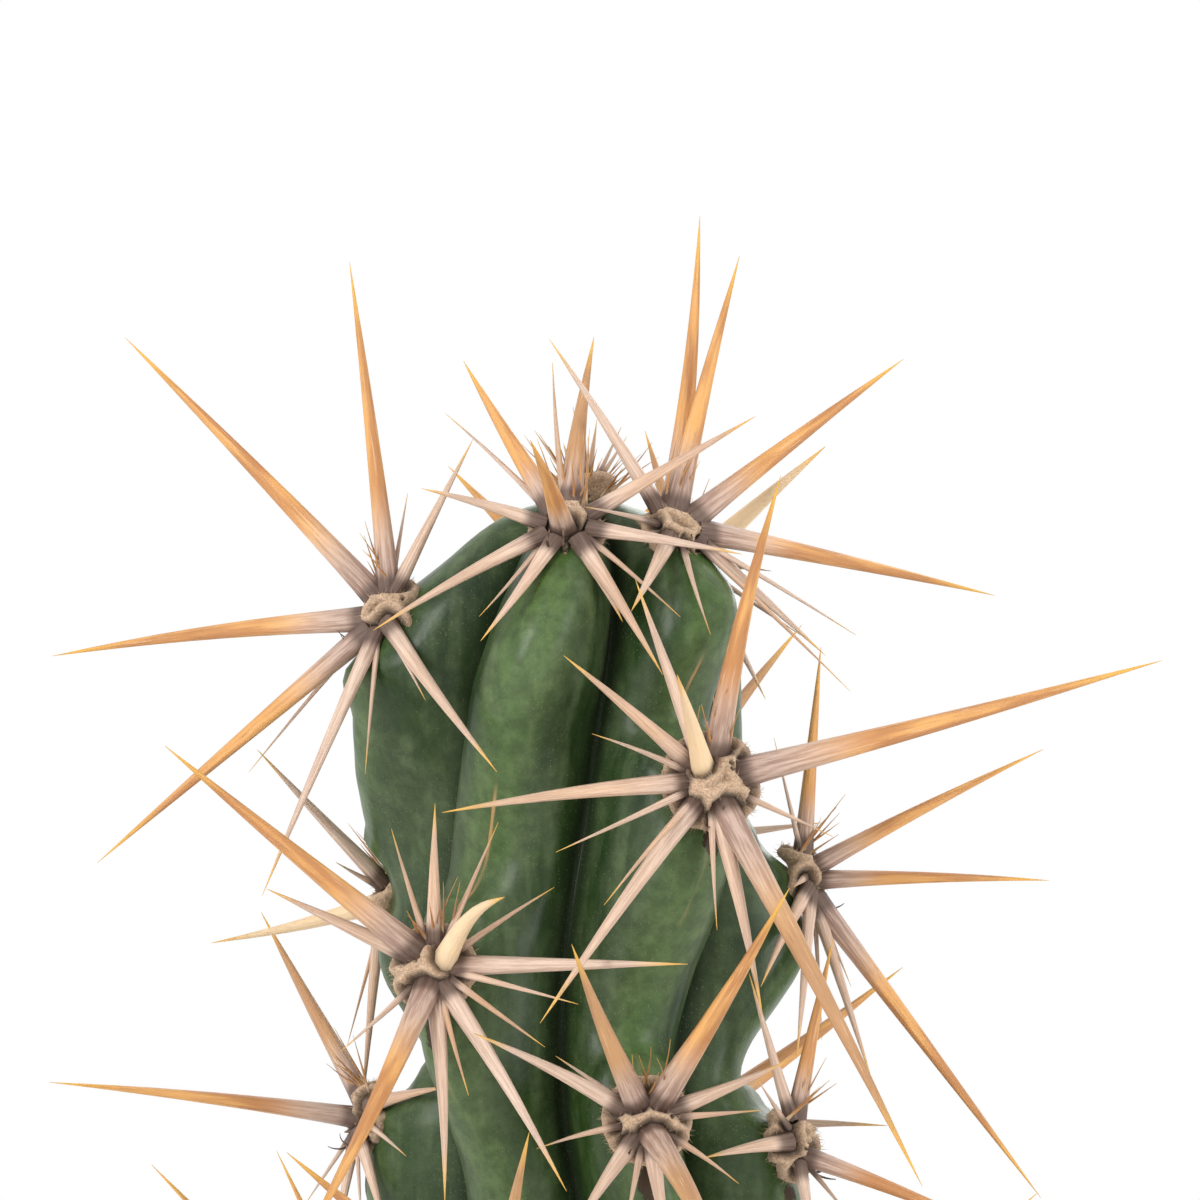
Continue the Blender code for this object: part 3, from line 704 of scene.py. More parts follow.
def bristles_of(name, seat):
    point, out, up, right = seat
    dice = random.Random("bristles " + name)
    made = []
    for _ in range(CROWN_BRISTLES if name == "crown" else BRISTLES):
        lift = math.radians(dice.uniform(30, 72))
        if name == "crown":
            turn = dice.uniform(0, 2 * math.pi)
            way = up * math.cos(turn) + right * math.sin(turn)
            root = point + way * dice.uniform(0.1, 0.8) * PAD_RADIUS
        else:
            way = (up + right * dice.uniform(-0.7, 0.7)).normalized()
            root = (point + up * dice.uniform(0.45, 0.75) * PAD_RADIUS
                    + right * dice.uniform(-0.5, 0.5) * PAD_RADIUS + out * 0.3 * PAD_HEIGHT)
        growth = (way * math.cos(lift) + out * math.sin(lift)).normalized()
        length = dice.uniform(BRISTLE_SHORTEST, BRISTLE_LONGEST)
        made.append(Spine(root, growth, length, BRISTLE_THICKNESS, out, name))
    return made


BRISTLE_LIST = [b for name, seat in SEATS.items() for b in bristles_of(name, seat)]
print("bristles:", len(BRISTLE_LIST))

# %% [markdown]
# ## Spine colours
# A spine is dark mauve where it leaves the wool and pale or amber along its length, and its point
# is yellow. The long central ones are the most amber, the flat outer ones a pinkish cream.
# Fibres run along it as fine streaks. Each spine carries how far along it a point is and where it
# lies on the section, and the streaks are drawn in those, so they follow every curve.

# %% Streaked spine finish
def make_spine_finish():
    made, tree, shader, _ = new_material("spine_horn", Specular_IOR_Level=0.35)
    along, amber = attribute(tree, "along"), attribute(tree, "amber")
    horn = attribute(tree, "horn")
    dice, reach = attribute(tree, "dice"), attribute(tree, "reach")
    section = tree.xyz(attribute(tree, "section", "Vector"))
    start = tree.product(dice, 40.0)
    grain = tree.join(section[0], section[1], tree.sum(tree.product(reach, 38.0), start))
    streak = tree.noise(grain, 0.30, 5, 0.7)
    patch = tree.noise(tree.vector("MULTIPLY", grain, (0.5, 0.5, 1.4)), 0.75, 2)
    band = tree.ramp(streak, 0.40, 0.60)
    cream = tree.blend(band, (0.53, 0.375, 0.29), (0.72, 0.55, 0.435))
    cream = tree.blend(horn, cream, (0.86, 0.66, 0.42))
    orange = coats(
        tree, tree.blend(tree.ramp(patch, 0.38, 0.62), (0.46, 0.205, 0.075), (0.68, 0.35, 0.115)),
        (tree.ramp(dice, 0.60, 0.75, 0, 0.7), (0.43, 0.25, 0.135)),
        (tree.ramp(streak, 0.56, 0.72, 0, 0.7), (0.78, 0.54, 0.34)),
        (tree.ramp(streak, 0.42, 0.32), (0.38, 0.185, 0.085)))
    mauve = tree.blend(band, (0.25, 0.15, 0.115), (0.46, 0.33, 0.27))
    mauve_end = tree.sum(0.12, tree.product(amber, 0.14), tree.product(dice, 0.08))
    base = tree.ramp(tree.math("DIVIDE", along, mauve_end), 0.20, 1.0, 0.9, 0.0)
    hardened = tree.math("SUBTRACT", 1.0, horn)
    # Where a hardened spine sinks into the wool its root is painted near black: painted shade in
    # the socket.
    socket = tree.product(tree.ramp(reach, 0.0018, 0.0036, 0.75, 0.0), hardened)
    colour = coats(
        tree, cream,
        (tree.product(amber, tree.ramp(along, 0.06, 0.36)), orange),
        (tree.product(base, tree.sum(0.2, tree.product(hardened, 0.8))), mauve),
        (tree.ramp(along, 0.74, 0.98, 0, 0.9), (0.84, 0.47, 0.08)),
        (socket, (0.055, 0.030, 0.020)))
    rough = tree.ramp(streak, 0.3, 0.7, 0.42, 0.65)
    finish_surface(tree, shader, colour, rough, streak, 0.0002)
    return made


SPINE_FINISH = make_spine_finish()

# %% [markdown]
# ## The spines
# A spine follows a path, so a geometry tree sweeps a section along each line. The section is
# flattened towards the areole's face, as a real spine's is, and shrinks to a point. One tree makes
# every spine and bristle, and what each line carries goes on to its surface.

# %% The spines' tree
def make_sheath_tree():
    tree, takes, gives = new_group(
        "spine_sweep", "GeometryNodeTree",
        {"Lines": ("Geometry", None), "Finish": ("Material", None), "Sides": ("Int", 8),
         "Flatness": ("Float", 0.76)},
        {"Spines": ("Geometry", None)})
    curves = tree.add("GeometryNodeMeshToCurve", {0: takes["Lines"]}).outputs[0]
    curves = tree.add("GeometryNodeSetCurveNormal", {
        0: curves, "Normal": tree.named("facing", "FLOAT_VECTOR")}, mode="FREE").outputs[0]
    circle = tree.add("GeometryNodeCurvePrimitiveCircle", {
        "Resolution": takes["Sides"], "Radius": 1.0}).outputs[0]
    place = tree.position()
    circle = tree.store(circle, "section", place, "FLOAT_VECTOR")
    squeeze = tree.join(takes["Flatness"], 1.0, 1.0)
    circle = tree.move(circle, Position=tree.vector("MULTIPLY", place, squeeze))
    swept = tree.add("GeometryNodeCurveToMesh", {
        0: curves, 1: circle, "Scale": tree.named("thick"), "Fill Caps": True}).outputs[0]
    tree.put_out(swept, takes["Finish"], gives["Spines"], smooth=True)
    return tree.group


# %% Lay out the lines and sweep them
LONG_THICKNESS, BROAD_THICKNESS = 0.0015, 0.0010
POINT_THICKNESS = 0.00003
HORN_LENGTH, HORN_UPRIGHT = 28, 0.75  # a horn is at most so many mm long and stands so straight
BOW, HORN_BOW = 0.016, 0.04  # shares of the length
CROWDING, TAPER = 1.1, 0.86
ROOT_FLARE, FLARE_REACH = 0.10, 0.003


def look_of(spine, dice):
    """(rings, thickness at the root, how amber, how like a pale horn) of a model's spine."""
    length = spine.length / MM
    if spine.thickness > (LONG_THICKNESS + BROAD_THICKNESS) / 2:
        short = length < HORN_LENGTH and spine.growth.dot(spine.out) > HORN_UPRIGHT
        return 10, 0.00150 + 0.00045 * min(1.0, length / 50), 0.2 if short else 1.0, float(short)
    if spine.thickness > BROAD_THICKNESS * 0.75:
        return 8, 0.00105 + 0.00035 * min(1.0, length / 34), dice.uniform(0.0, 0.35), 0.0
    return 6, 0.00056, dice.uniform(0.0, 0.5), 0.0


def spine_lines(name, spines, seed):
    """The middle lines of spines or bristles, with what each point on them carries."""
    dice = random.Random(seed)
    points, edges = [], []
    carried = {key: [] for key in ("thick", "along", "reach", "amber", "horn", "dice", "facing")}
    for spine in spines:
        if spine.thickness == BRISTLE_THICKNESS:
            rings, thickness, amber, horn = 5, BRISTLE_THICKNESS, 1.0, 1.0
        else:
            rings, thickness, amber, horn = look_of(spine, dice)
        own = dice.random()
        facing = spine.out - spine.growth * spine.out.dot(spine.growth)
        if facing.length < 0.05:
            facing = spine.growth.orthogonal()
        facing.normalize()
        bend = BOW + HORN_BOW * horn
        bow = spine.growth.cross(facing) * spine.length * dice.uniform(-1, 1) * bend
        droop = Vector((0, 0, SPINE_DROOP * spine.length * (1 - abs(spine.growth.z))))
        for ring in range(rings + 1):
            share = (ring / rings) ** CROWDING
            reach = spine.length * share
            taper = (1 - share) ** TAPER * (1 + ROOT_FLARE * math.exp(-reach / FLARE_REACH))
            if ring:
                edges.append((len(points) - 1, len(points)))
            points.append(spine.root + spine.growth * reach - droop * share ** 2
                          + bow * math.sin(math.pi * share))
            row = (max(POINT_THICKNESS, thickness * taper), share, reach, amber, horn, own,
                   tuple(facing))
            for key, value in zip(carried, row):
                carried[key].append(value)
    return dotted(name, points, edges, **carried)


SWEEP = make_sheath_tree()
spines = grow("spines", spine_lines("spine_lines", SPINES, 5), SWEEP, Finish=SPINE_FINISH,
              Sides=8, Flatness=0.76)
bristles = grow("bristles", spine_lines("bristle_lines", BRISTLE_LIST, 6), SWEEP,
                Finish=SPINE_FINISH, Sides=5, Flatness=0.9)

# %% [markdown]
# ## Dry scraps
# Under each areole the plant still makes a tiny scale of a leaf. It dries within weeks and clings
# there for years as a dark curled scrap. A scrap is a short line that leaves along the skin and
# bends outwards at an even rate, swept by the same tree as the spines, but flatter.

# %% Dry scraps below the wool
SCRAPS, SCRAP_THICKNESS, SCRAP_STEPS = 2, 0.00042, 8


def make_scrap_finish():
    made, tree, shader, where = new_material("dry_scrap", Roughness=0.8)
    tone = tree.noise(where, 0.0006, 3)
    colour = tree.blend(tree.ramp(tone, 0.4, 0.65), (0.030, 0.017, 0.010), (0.15, 0.095, 0.060))
    finish_surface(tree, shader, colour)
    return made


def scrap_lines():
    dice = random.Random(17)
    points, edges, thick, facing = [], [], [], []
    for name in sorted(set(SEATS) - {"crown"}):
        point, out, up, right = SEATS[name]
        for _ in range(SCRAPS):
            side, curl = dice.uniform(-0.9, 0.9), dice.uniform(1.0, 2.8)
            step = dice.uniform(0.0028, 0.0060) / SCRAP_STEPS
            way = (right * side - up).normalized()
            here = point + way * 0.72 * PAD_RADIUS + out * 0.0006
            for number in range(SCRAP_STEPS + 1):
                share = number / SCRAP_STEPS
                turn = curl * share
                if number:
                    edges.append((len(points) - 1, len(points)))
                    here = here + (way * math.cos(turn) + out * math.sin(turn)) * step
                points.append(here)
                thick.append(SCRAP_THICKNESS * (1 - 0.8 * share))
                facing.append(tuple(out * math.cos(turn) - way * math.sin(turn)))
    return dotted("scrap_lines", points, edges, thick=thick, facing=facing)


scraps = grow("dry_scraps", scrap_lines(), SWEEP, Finish=make_scrap_finish(), Sides=6,
              Flatness=0.4)

# %% [markdown]
# ## Wool
# Each areole is a cushion of felted wool. The spines stand in sockets in it, and the wool rises
# between them in ridges. The tree sets one dome on each areole, and then asks of every point how
# far it is from the nearest spine: close by it sinks, a little further out it rises. The ridges
# come by themselves where the rims of two sockets meet.

# %% Felt finish
def make_felt():
    made, tree, shader, where = new_material(
        "areole_felt", Roughness=0.95, Specular_IOR_Level=0.15, Sheen_Weight=0.3,
        Sheen_Roughness=0.5, Sheen_Tint=(0.9, 0.8, 0.65, 1))
    # The felt is painted dark in the sockets round the spines, as painted shade, and lighter on
    # the ridges between them, as painted light.
    depth, rope = attribute(tree, "socket"), attribute(tree, "rope")
    tuft = tree.noise(where, 0.00032, 4, 0.7)
    broad = tree.noise(where, 0.0021, 2)
    colour = tree.blend(tree.ramp(tuft, 0.33, 0.68), (0.19, 0.118, 0.072), (0.44, 0.31, 0.205))
    lit_ridge_felt = tree.blend(tree.ramp(tuft, 0.33, 0.68), (0.35, 0.225, 0.145), (0.66, 0.475, 0.33))
    colour = coats(tree, colour, (tree.ramp(rope, 0.25, 0.85), lit_ridge_felt),
                   (tree.ramp(broad, 0.35, 0.7, 0, 0.4), (0.44, 0.31, 0.20)),
                   (tree.product(depth, 0.95), (0.045, 0.025, 0.016)))
    finish_surface(tree, shader, colour, None, tuft, 0.0002)
    return made


FELT = make_felt()


# %% The wool's tree
DOME_POWER = 2.6  # 2 gives a round dome, more gives it a flatter top
DOME_FOOT, DOME_FINENESS = -0.25, 5
WOOL_FULLNESS = {"crown": 0.75, "a1": 0.75, "b1": 0.66, "c1": 0.7, "d1": 0.8, "e1": 0.82,
                 "b2": 1.05, "c2": 0.75, "e2": 0.66, "c3": 0.75, "e3": 0.72}


def unit_dome():
    """A dome of radius 1 on a shallow foot, closed underneath, as fine as its ridges need."""
    bm = bmesh.new()
    bmesh.ops.create_icosphere(bm, subdivisions=DOME_FINENESS, radius=1)
    cut = bmesh.ops.bisect_plane(bm, geom=bm.verts[:] + bm.edges[:] + bm.faces[:],
                                 plane_co=(0, 0, DOME_FOOT), plane_no=(0, 0, 1),
                                 clear_inner=True)
    rim = [item for item in cut["geom_cut"] if isinstance(item, bmesh.types.BMEdge)]
    bmesh.ops.holes_fill(bm, edges=rim)
    for vert in bm.verts:
        flat = min(1.0, vert.co.xy.length)
        if vert.co.z > 0:
            vert.co.z = (1 - flat ** DOME_POWER) ** (1 / DOME_POWER)
    bmesh.ops.recalc_face_normals(bm, faces=bm.faces)
    mesh = bpy.data.meshes.new("unit_dome")
    bm.to_mesh(mesh)
    bm.free()
    return mesh


def make_wool_tree():
    tree, takes, gives = new_group(
        "areole_wool", "GeometryNodeTree",
        {"Areoles": ("Geometry", None), "Dome": ("Object", None), "Spines": ("Object", None),
         "Radius": ("Float", PAD_RADIUS), "Height": ("Float", PAD_HEIGHT),
         "Socket depth": ("Float", 0.0010), "Ridge height": ("Float", 0.0013),
         "Lump": ("Float", 0.00025)},
        {"Wool": ("Geometry", None)})
    dome = tree.add("GeometryNodeObjectInfo", {"Object": takes["Dome"]}).outputs["Geometry"]
    thorns = tree.add("GeometryNodeObjectInfo", {"Object": takes["Spines"]}).outputs["Geometry"]
    turn = tree.add("FunctionNodeAxesToRotation", {
        0: tree.named("out", "FLOAT_VECTOR"), 1: tree.named("up", "FLOAT_VECTOR")},
        primary_axis="Z", secondary_axis="Y").outputs[0]
    size = tree.scaled(tree.join(takes["Radius"], takes["Radius"], takes["Height"]),
                       tree.named("fullness"))
    wool = tree.add("GeometryNodeInstanceOnPoints", {
        0: takes["Areoles"], "Instance": dome, "Rotation": turn, "Scale": size}).outputs[0]
    wool = tree.add("GeometryNodeRealizeInstances", {0: wool}).outputs[0]
    near = tree.add("GeometryNodeProximity", {0: thorns}, target_element="FACES").outputs
    normal = tree.add("GeometryNodeInputNormal").outputs[0]
    thorn_way = tree.add("GeometryNodeSampleNearestSurface", {0: thorns, 1: normal},
                         data_type="FLOAT_VECTOR").outputs[0]
    here = tree.position()
    outside = tree.vector("DOT_PRODUCT", tree.vector("SUBTRACT", here, near[0]), thorn_way)
    gap = tree.product(near[1], tree.math("SIGN", outside))
    rim = tree.product(tree.ramp(gap, 0.0002, 0.0008), tree.ramp(gap, 0.0009, 0.0021, 1, 0.0))
    pit = tree.ramp(gap, 0.0, 0.0006, 1.0, 0.0)
    lump = tree.math("SUBTRACT", tree.noise(here, 0.0011, 3, 0.6), 0.5)
    rise = tree.sum(tree.product(rim, takes["Ridge height"]),
                    tree.product(pit, takes["Socket depth"], -1.0),
                    tree.product(lump, takes["Lump"], 2.0))
    # The socket and ridge masks stored here carry the felt's painted shade and painted light.
    wool = tree.store(wool, "socket", tree.ramp(gap, 0.0002, 0.0008, 1.0, 0.0))
    wool = tree.move(tree.store(wool, "rope", rim), Offset=tree.scaled(normal, rise))
    tree.put_out(wool, FELT, gives["Wool"], smooth=True)
    return tree.group


def seat_points(name):
    seats = list(SEATS.values())
    return dotted(name, [seat[0] for seat in seats], out=[seat[1] for seat in seats],
                  up=[seat[2] for seat in seats],
                  fullness=[WOOL_FULLNESS.get(key, 0.9) for key in SEATS])


dome = link("unit_dome", unit_dome())
wool = grow("areole_wool", seat_points("wool_seats"), make_wool_tree(), Dome=dome, Spines=spines)

# %% [markdown]
# ## Fibres on the wool
# Felt never has a clean outline: loose fibres stand out of it. A tree scatters short thin cones
# over the wool, each leaning its own way. Four faces each are enough at that size.

# %% Loose fibres
def make_fibre_finish():
    made, tree, shader, where = new_material(
        "wool_fibre", Roughness=0.9, Specular_IOR_Level=0.2)
    tone = tree.noise(where, 0.0009, 2)
    colour = tree.blend(tree.ramp(tone, 0.35, 0.65), (0.28, 0.19, 0.12), (0.53, 0.41, 0.285))
    finish_surface(tree, shader, colour)
    return made


FIBRE = make_fibre_finish()


def make_fibre_tree():
    tree, takes, gives = new_group(
        "wool_fibres", "GeometryNodeTree",
        {"Wool": ("Geometry", None), "Density": ("Float", 3200000.0),
         "Length": ("Float", 0.00085), "Thickness": ("Float", 0.00004), "Seed": ("Int", 3)},
        {"Fibres": ("Geometry", None)})
    strew = tree.add("GeometryNodeDistributePointsOnFaces", {
        0: takes["Wool"], "Selection": tree.math("LESS_THAN", tree.named("socket"), 0.25),
        "Density": takes["Density"], "Seed": takes["Seed"]}).outputs
    cone = tree.add("GeometryNodeMeshCone", {
        "Vertices": 3, "Radius Top": 0.0, "Radius Bottom": takes["Thickness"],
        "Depth": takes["Length"]}).outputs[0]
    lean = tree.dice((-0.9, -0.9, -0.9), (0.9, 0.9, 0.9), 1)
    way = tree.vector("ADD", strew[1], lean)
    turn = tree.add("FunctionNodeAlignRotationToVector", {"Vector": way}, axis="Z").outputs[0]
    fibres = tree.add("GeometryNodeInstanceOnPoints", {
        0: strew[0], "Instance": cone, "Rotation": turn,
        "Scale": tree.dice(0.5, 1.3, 2)}).outputs[0]
    tree.put_out(fibres, FIBRE, gives["Fibres"])
    return tree.group


fibres = grow("wool_fibres", wool.data.copy(), make_fibre_tree())


# %% [markdown]
# ## The pot
# A clay pot is thrown on a wheel, so its shape is one outline turned about its axis: a tapered
# wall, a band round the mouth that stiffens it, soft lips, and holes drilled in the floor. The
# outline is stated once, its corners are rounded by short arcs, and it is sampled every few
# millimetres so that the faint rings that the maker's fingers leave can be pressed into it.

# %% Turned clay
POT_FOOT_RADIUS, POT_MOUTH_RADIUS, POT_WALL, POT_FLOOR = 0.048, 0.064, 0.006, 0.008
BAND_HEIGHT, BAND_PROUD, BAND_TAPER, LIP_ROUND = 0.030, 0.004, 0.0013, 0.0018
DRAIN_RADIUS, DRAIN_CIRCLE_RADIUS, DRAIN_COUNT = 0.006, 0.026, 3
INSIDE_ROUND, BAND_CORNER_ROUND = 0.004, 0.0012
OUTLINE_STEP, TURNS, DRILL_TURNS = 0.0016, 144, 32
DRILL_LOW, DRILL_HIGH = -0.01, 0.02
CREASE_ANGLE = 50  # degrees; sharper edges stay sharp


def wall_radius(height):
    return POT_FOOT_RADIUS + (POT_MOUTH_RADIUS - POT_FOOT_RADIUS) * height / POT_HEIGHT


def rounded(corners, steps=5):
    """An outline of (radius, height, rounding) corners with each corner turned into an arc."""
    outline = []
    for index, (x, z, size) in enumerate(corners):
        here = Vector((x, z))
        if not size or index in (0, len(corners) - 1):
            outline.append(here)
            continue
        before = (Vector(corners[index - 1][:2]) - here).normalized() * size
        after = (Vector(corners[index + 1][:2]) - here).normalized() * size
        for step in range(steps + 1):
            t = step / steps
            outline.append(here + before * (1 - t) ** 2 + after * t ** 2)
    return outline


def sampled(outline, step):
    """The outline with points added so that none of its runs is longer than step."""
    points = [outline[0]]
    for a, b in zip(outline, outline[1:]):
        count = max(1, math.ceil((b - a).length / step))
        points += [a.lerp(b, n / count) for n in range(1, count + 1)]
    return points


def turned(name, outline, turns):
    """A closed solid of revolution about Z; the outline starts and ends on the axis."""
    bm = bmesh.new()
    rings = []
    for x, z in outline:
        if x < WELD:
            rings.append([bm.verts.new((0, 0, z))] * turns)
        else:
            rings.append([bm.verts.new((x * math.cos(a), x * math.sin(a), z))
                          for a in (2 * math.pi * n / turns for n in range(turns))])
    for lower, upper in zip(rings, rings[1:]):
        for i in range(turns):
            corners = (lower[i], lower[(i + 1) % turns], upper[(i + 1) % turns], upper[i])
            bm.faces.new(list(dict.fromkeys(corners)))
    bmesh.ops.recalc_face_normals(bm, faces=bm.faces)
    mesh = bpy.data.meshes.new(name)
    bm.to_mesh(mesh)
    bm.free()
    mesh.shade_smooth()
    return link(name, mesh)


def apply_modifiers(obj):
    """Turns an object's live modifiers into its plain mesh."""
    depsgraph = bpy.context.evaluated_depsgraph_get()
    made = bpy.data.meshes.new_from_object(obj.evaluated_get(depsgraph), depsgraph=depsgraph)
    obj.modifiers.clear()
    obj.data = made


def make_pot():
    band_low, band = POT_HEIGHT - BAND_HEIGHT, POT_MOUTH_RADIUS + BAND_PROUD
    mouth = POT_MOUTH_RADIUS - POT_WALL
    outline = rounded([
        (0, POT_FLOOR, 0), (wall_radius(POT_FLOOR) - POT_WALL, POT_FLOOR, INSIDE_ROUND),
        (mouth, POT_HEIGHT, LIP_ROUND), (band, POT_HEIGHT, LIP_ROUND),
        (band - BAND_TAPER, band_low, LIP_ROUND),
        (wall_radius(band_low), band_low, BAND_CORNER_ROUND),
        (POT_FOOT_RADIUS, 0, LIP_ROUND), (0, 0, 0)])
    pot = turned("clay_pot", sampled(outline, OUTLINE_STEP), TURNS)
    for number in range(DRAIN_COUNT):
        angle = 2 * math.pi * number / DRAIN_COUNT
        drill = turned(f"drill_{number}", [
            (0, DRILL_LOW), (DRAIN_RADIUS, DRILL_LOW), (DRAIN_RADIUS, DRILL_HIGH),
            (0, DRILL_HIGH)], DRILL_TURNS)
        drill.data.transform(Matrix.Translation((
            DRAIN_CIRCLE_RADIUS * math.cos(angle), DRAIN_CIRCLE_RADIUS * math.sin(angle), 0)))
        hole = pot.modifiers.new("drain", "BOOLEAN")
        hole.object, hole.solver = drill, "EXACT"
        apply_modifiers(pot)
        bpy.data.objects.remove(drill)
    press_rings(pot.data)
    pot.data.shade_smooth()
    pot.data.set_sharp_from_angle(angle=math.radians(CREASE_ANGLE))
    return pot


def press_rings(mesh):
    """The faint rings that fingers leave, two over each other, on the wall and the band."""
    co = np.array([v.co for v in mesh.vertices])
    reach = np.hypot(co[:, 0], co[:, 1])
    ripple = sum(depth * np.sin(co[:, 2] * 2 * math.pi / spacing)
                 for depth, spacing in ((0.00010, 0.0052), (0.00007, 0.0021)))
    ripple *= (reach > POT_FOOT_RADIUS * 0.9) & (co[:, 2] > 0.003)
    co[:, :2] *= (1 + ripple / np.maximum(reach, 0.01))[:, None]
    mesh.vertices.foreach_set("co", co.astype(np.float32).ravel())


pot = make_pot()
print("pot radius and height in mm:", round(pot.dimensions.x / 2 / MM, 1), pot.dimensions.z / MM)

# %% [markdown]
# ## Fired clay
# Terracotta is unevenly fired, so its red is blotched. It is pitted with pin holes, its edges are
# rubbed paler, and water that passes through it leaves a chalky bloom near the foot and under
# the band.

# %% Clay finish
def make_clay():
    made, tree, shader, where = new_material("fired_clay", Specular_IOR_Level=0.25)
    height = tree.xyz(where)[2]
    flat = tree.vector("MULTIPLY", where, (1, 1, 2.2))
    patch = use(tree, BLOTCHES, Where=flat, Size=0.045, Amount=0.5, Edge=0.16)
    fine = tree.noise(where, 0.0016, 4, 0.65)
    worn = tree.noise(where, 0.009, 5, 0.7)
    low = tree.ramp(height, 0.003, 0.050, 1.0, 0.0)
    under_band = tree.product(tree.ramp(height, 0.070, 0.094), tree.ramp(height, 0.0955, 0.095))
    ring = tree.sum(tree.product(low, 0.75), tree.product(under_band, 0.35))
    chalk = tree.product(ring, use(
        tree, BLOTCHES, Where=where, Size=0.014, Amount=0.62, Edge=0.14))
    from_lip = tree.math("ABSOLUTE", tree.math("SUBTRACT", height, 0.1243))
    rubbed = tree.product(tree.ramp(from_lip, 0.0, 0.0024, 1.0, 0.0), tree.ramp(worn, 0.35, 0.7))
    pits = use(tree, SPECKS, Where=where, Spacing=0.0021, Dot=0.20)
    clay = coats(
        tree, tree.blend(patch, (0.36, 0.125, 0.058), (0.50, 0.200, 0.098)),
        (tree.ramp(fine, 0.35, 0.7, 0, 0.35), (0.58, 0.27, 0.145)),
        (tree.product(chalk, 0.75), (0.66, 0.52, 0.40)),
        (tree.product(rubbed, 0.4), (0.64, 0.36, 0.22)),
        # The pin holes are painted dark: painted shade in the pits.
        (tree.product(pits, 0.6), (0.14, 0.050, 0.026)))
    rough = tree.ramp(chalk, 0.0, 1.0, 0.82, 0.97)
    grain = tree.sum(tree.product(fine, 0.55), tree.product(pits, -0.8),
                     tree.product(chalk, 0.25))
    finish_surface(tree, shader, clay, rough, grain, 0.00035)
    return made


pot.data.materials.append(make_clay())

# %% [markdown]
# ## Soil and grit
# Cactus soil is dark compost with as much grit in it: crushed stone, pumice and a little lava. The
# compost is one solid that fills the pot, with a top roughened by layers of noise. The grit is
# angular stones, scattered over that top by a tree, each with its own turn, size and colour.

# %% Compost and grit finishes
def make_compost():
    made, tree, shader, where = new_material(
        "compost", Roughness=0.95, Specular_IOR_Level=0.2)
    crumb = tree.noise(where, 0.0018, 5, 0.7)
    colour = tree.blend(tree.ramp(crumb, 0.35, 0.7), (0.018, 0.011, 0.007), (0.095, 0.058, 0.034))
    fleck = use(tree, SPECKS, Where=where, Spacing=0.0019, Dot=0.30)
    colour = tree.blend(tree.product(fleck, 0.7), colour, (0.34, 0.25, 0.16))
    finish_surface(tree, shader, colour, None, crumb, 0.0009)
    return made


def make_grit_finish():
    made, tree, shader, where = new_material("grit", Roughness=0.85)
    dice = attribute(tree, "dice")
    colour = (0.26, 0.215, 0.17)
    for low, stone in ((0.30, (0.43, 0.375, 0.31)), (0.55, (0.085, 0.060, 0.045)),
                       (0.72, (0.30, 0.115, 0.065)), (0.82, (0.62, 0.57, 0.49))):
        colour = tree.blend(tree.ramp(dice, low, low + 0.01, smooth=False), colour, stone)
    rubble = tree.noise(where, 0.0007, 4, 0.7)
    colour = tree.blend(tree.ramp(rubble, 0.3, 0.7, 0.0, 0.55), colour, (0.12, 0.09, 0.065))
    finish_surface(tree, shader, colour, None, rubble, 0.00045)
    return made


# %% Compost
RIM_GAP = 0.0004
SOIL_CROWN, SOIL_SHOULDER = 0.003, 0.004
SOIL_FOOT_INSET = 0.003
TOP_STEP, SIDE_STEP, SOIL_TURNS = 0.0013, 0.02, 160


def make_soil():
    low = POT_FLOOR + RIM_GAP
    flat = CREST_RADIUS + SOIL_SHOULDER
    edge = wall_radius(SOIL_Z) - POT_WALL - RIM_GAP
    outline = sampled([Vector(p) for p in (
        (0, SOIL_Z + SOIL_CROWN), (flat, SOIL_Z + SOIL_CROWN), (edge, SOIL_Z))], TOP_STEP)
    foot = wall_radius(low) - POT_WALL - RIM_GAP - SOIL_FOOT_INSET
    outline += sampled([Vector(p) for p in ((edge, SOIL_Z), (foot, low), (0, low))],
                       SIDE_STEP)[1:]
    soil = turned("potting_compost", outline, SOIL_TURNS)
    tree, takes, gives = new_group(
        "rough_top", "GeometryNodeTree",
        {"Soil": ("Geometry", None), "Hump": ("Float", 0.0016), "Crumb": ("Float", 0.0011)},
        {"Rough soil": ("Geometry", None)})
    here = tree.position()
    top = tree.ramp(tree.xyz(here)[2], SOIL_Z - 0.0002, SOIL_Z + 0.0008)
    humps = tree.math("SUBTRACT", tree.noise(here, 0.016, 2), 0.55)
    crumbs = tree.math("SUBTRACT", tree.noise(here, 0.0030, 3, 0.65), 0.5)
    rise = tree.product(top, tree.sum(tree.product(humps, takes["Hump"], 2.0),
                                      tree.product(crumbs, takes["Crumb"], 2.0)))
    rough = tree.move(takes["Soil"], Offset=tree.join(0.0, 0.0, rise))
    tree.put_out(rough, make_compost(), gives["Rough soil"])
    smooth_mesh = soil.data
    bpy.data.objects.remove(soil)
    return grow("compost", smooth_mesh, tree.group)


soil = make_soil()


# %% Grit
STONE_KINDS, STONE_FLATNESS = 4, 0.72
SPIN = 3.14  # radians either way


def stone_kinds():
    """A few angular stones of twenty faces each, no two alike."""
    dice = random.Random(21)
    kinds = bpy.data.collections.new("stones")
    for number in range(STONE_KINDS):
        bm = bmesh.new()
        bmesh.ops.create_icosphere(bm, subdivisions=1, radius=1)
        for vert in bm.verts:
            vert.co *= dice.uniform(0.68, 1.12)
            vert.co.z *= STONE_FLATNESS
        mesh = bpy.data.meshes.new(f"stone_{number}")
        bm.to_mesh(mesh)
        bm.free()
        kinds.objects.link(bpy.data.objects.new(f"stone_{number}", mesh))
    return kinds


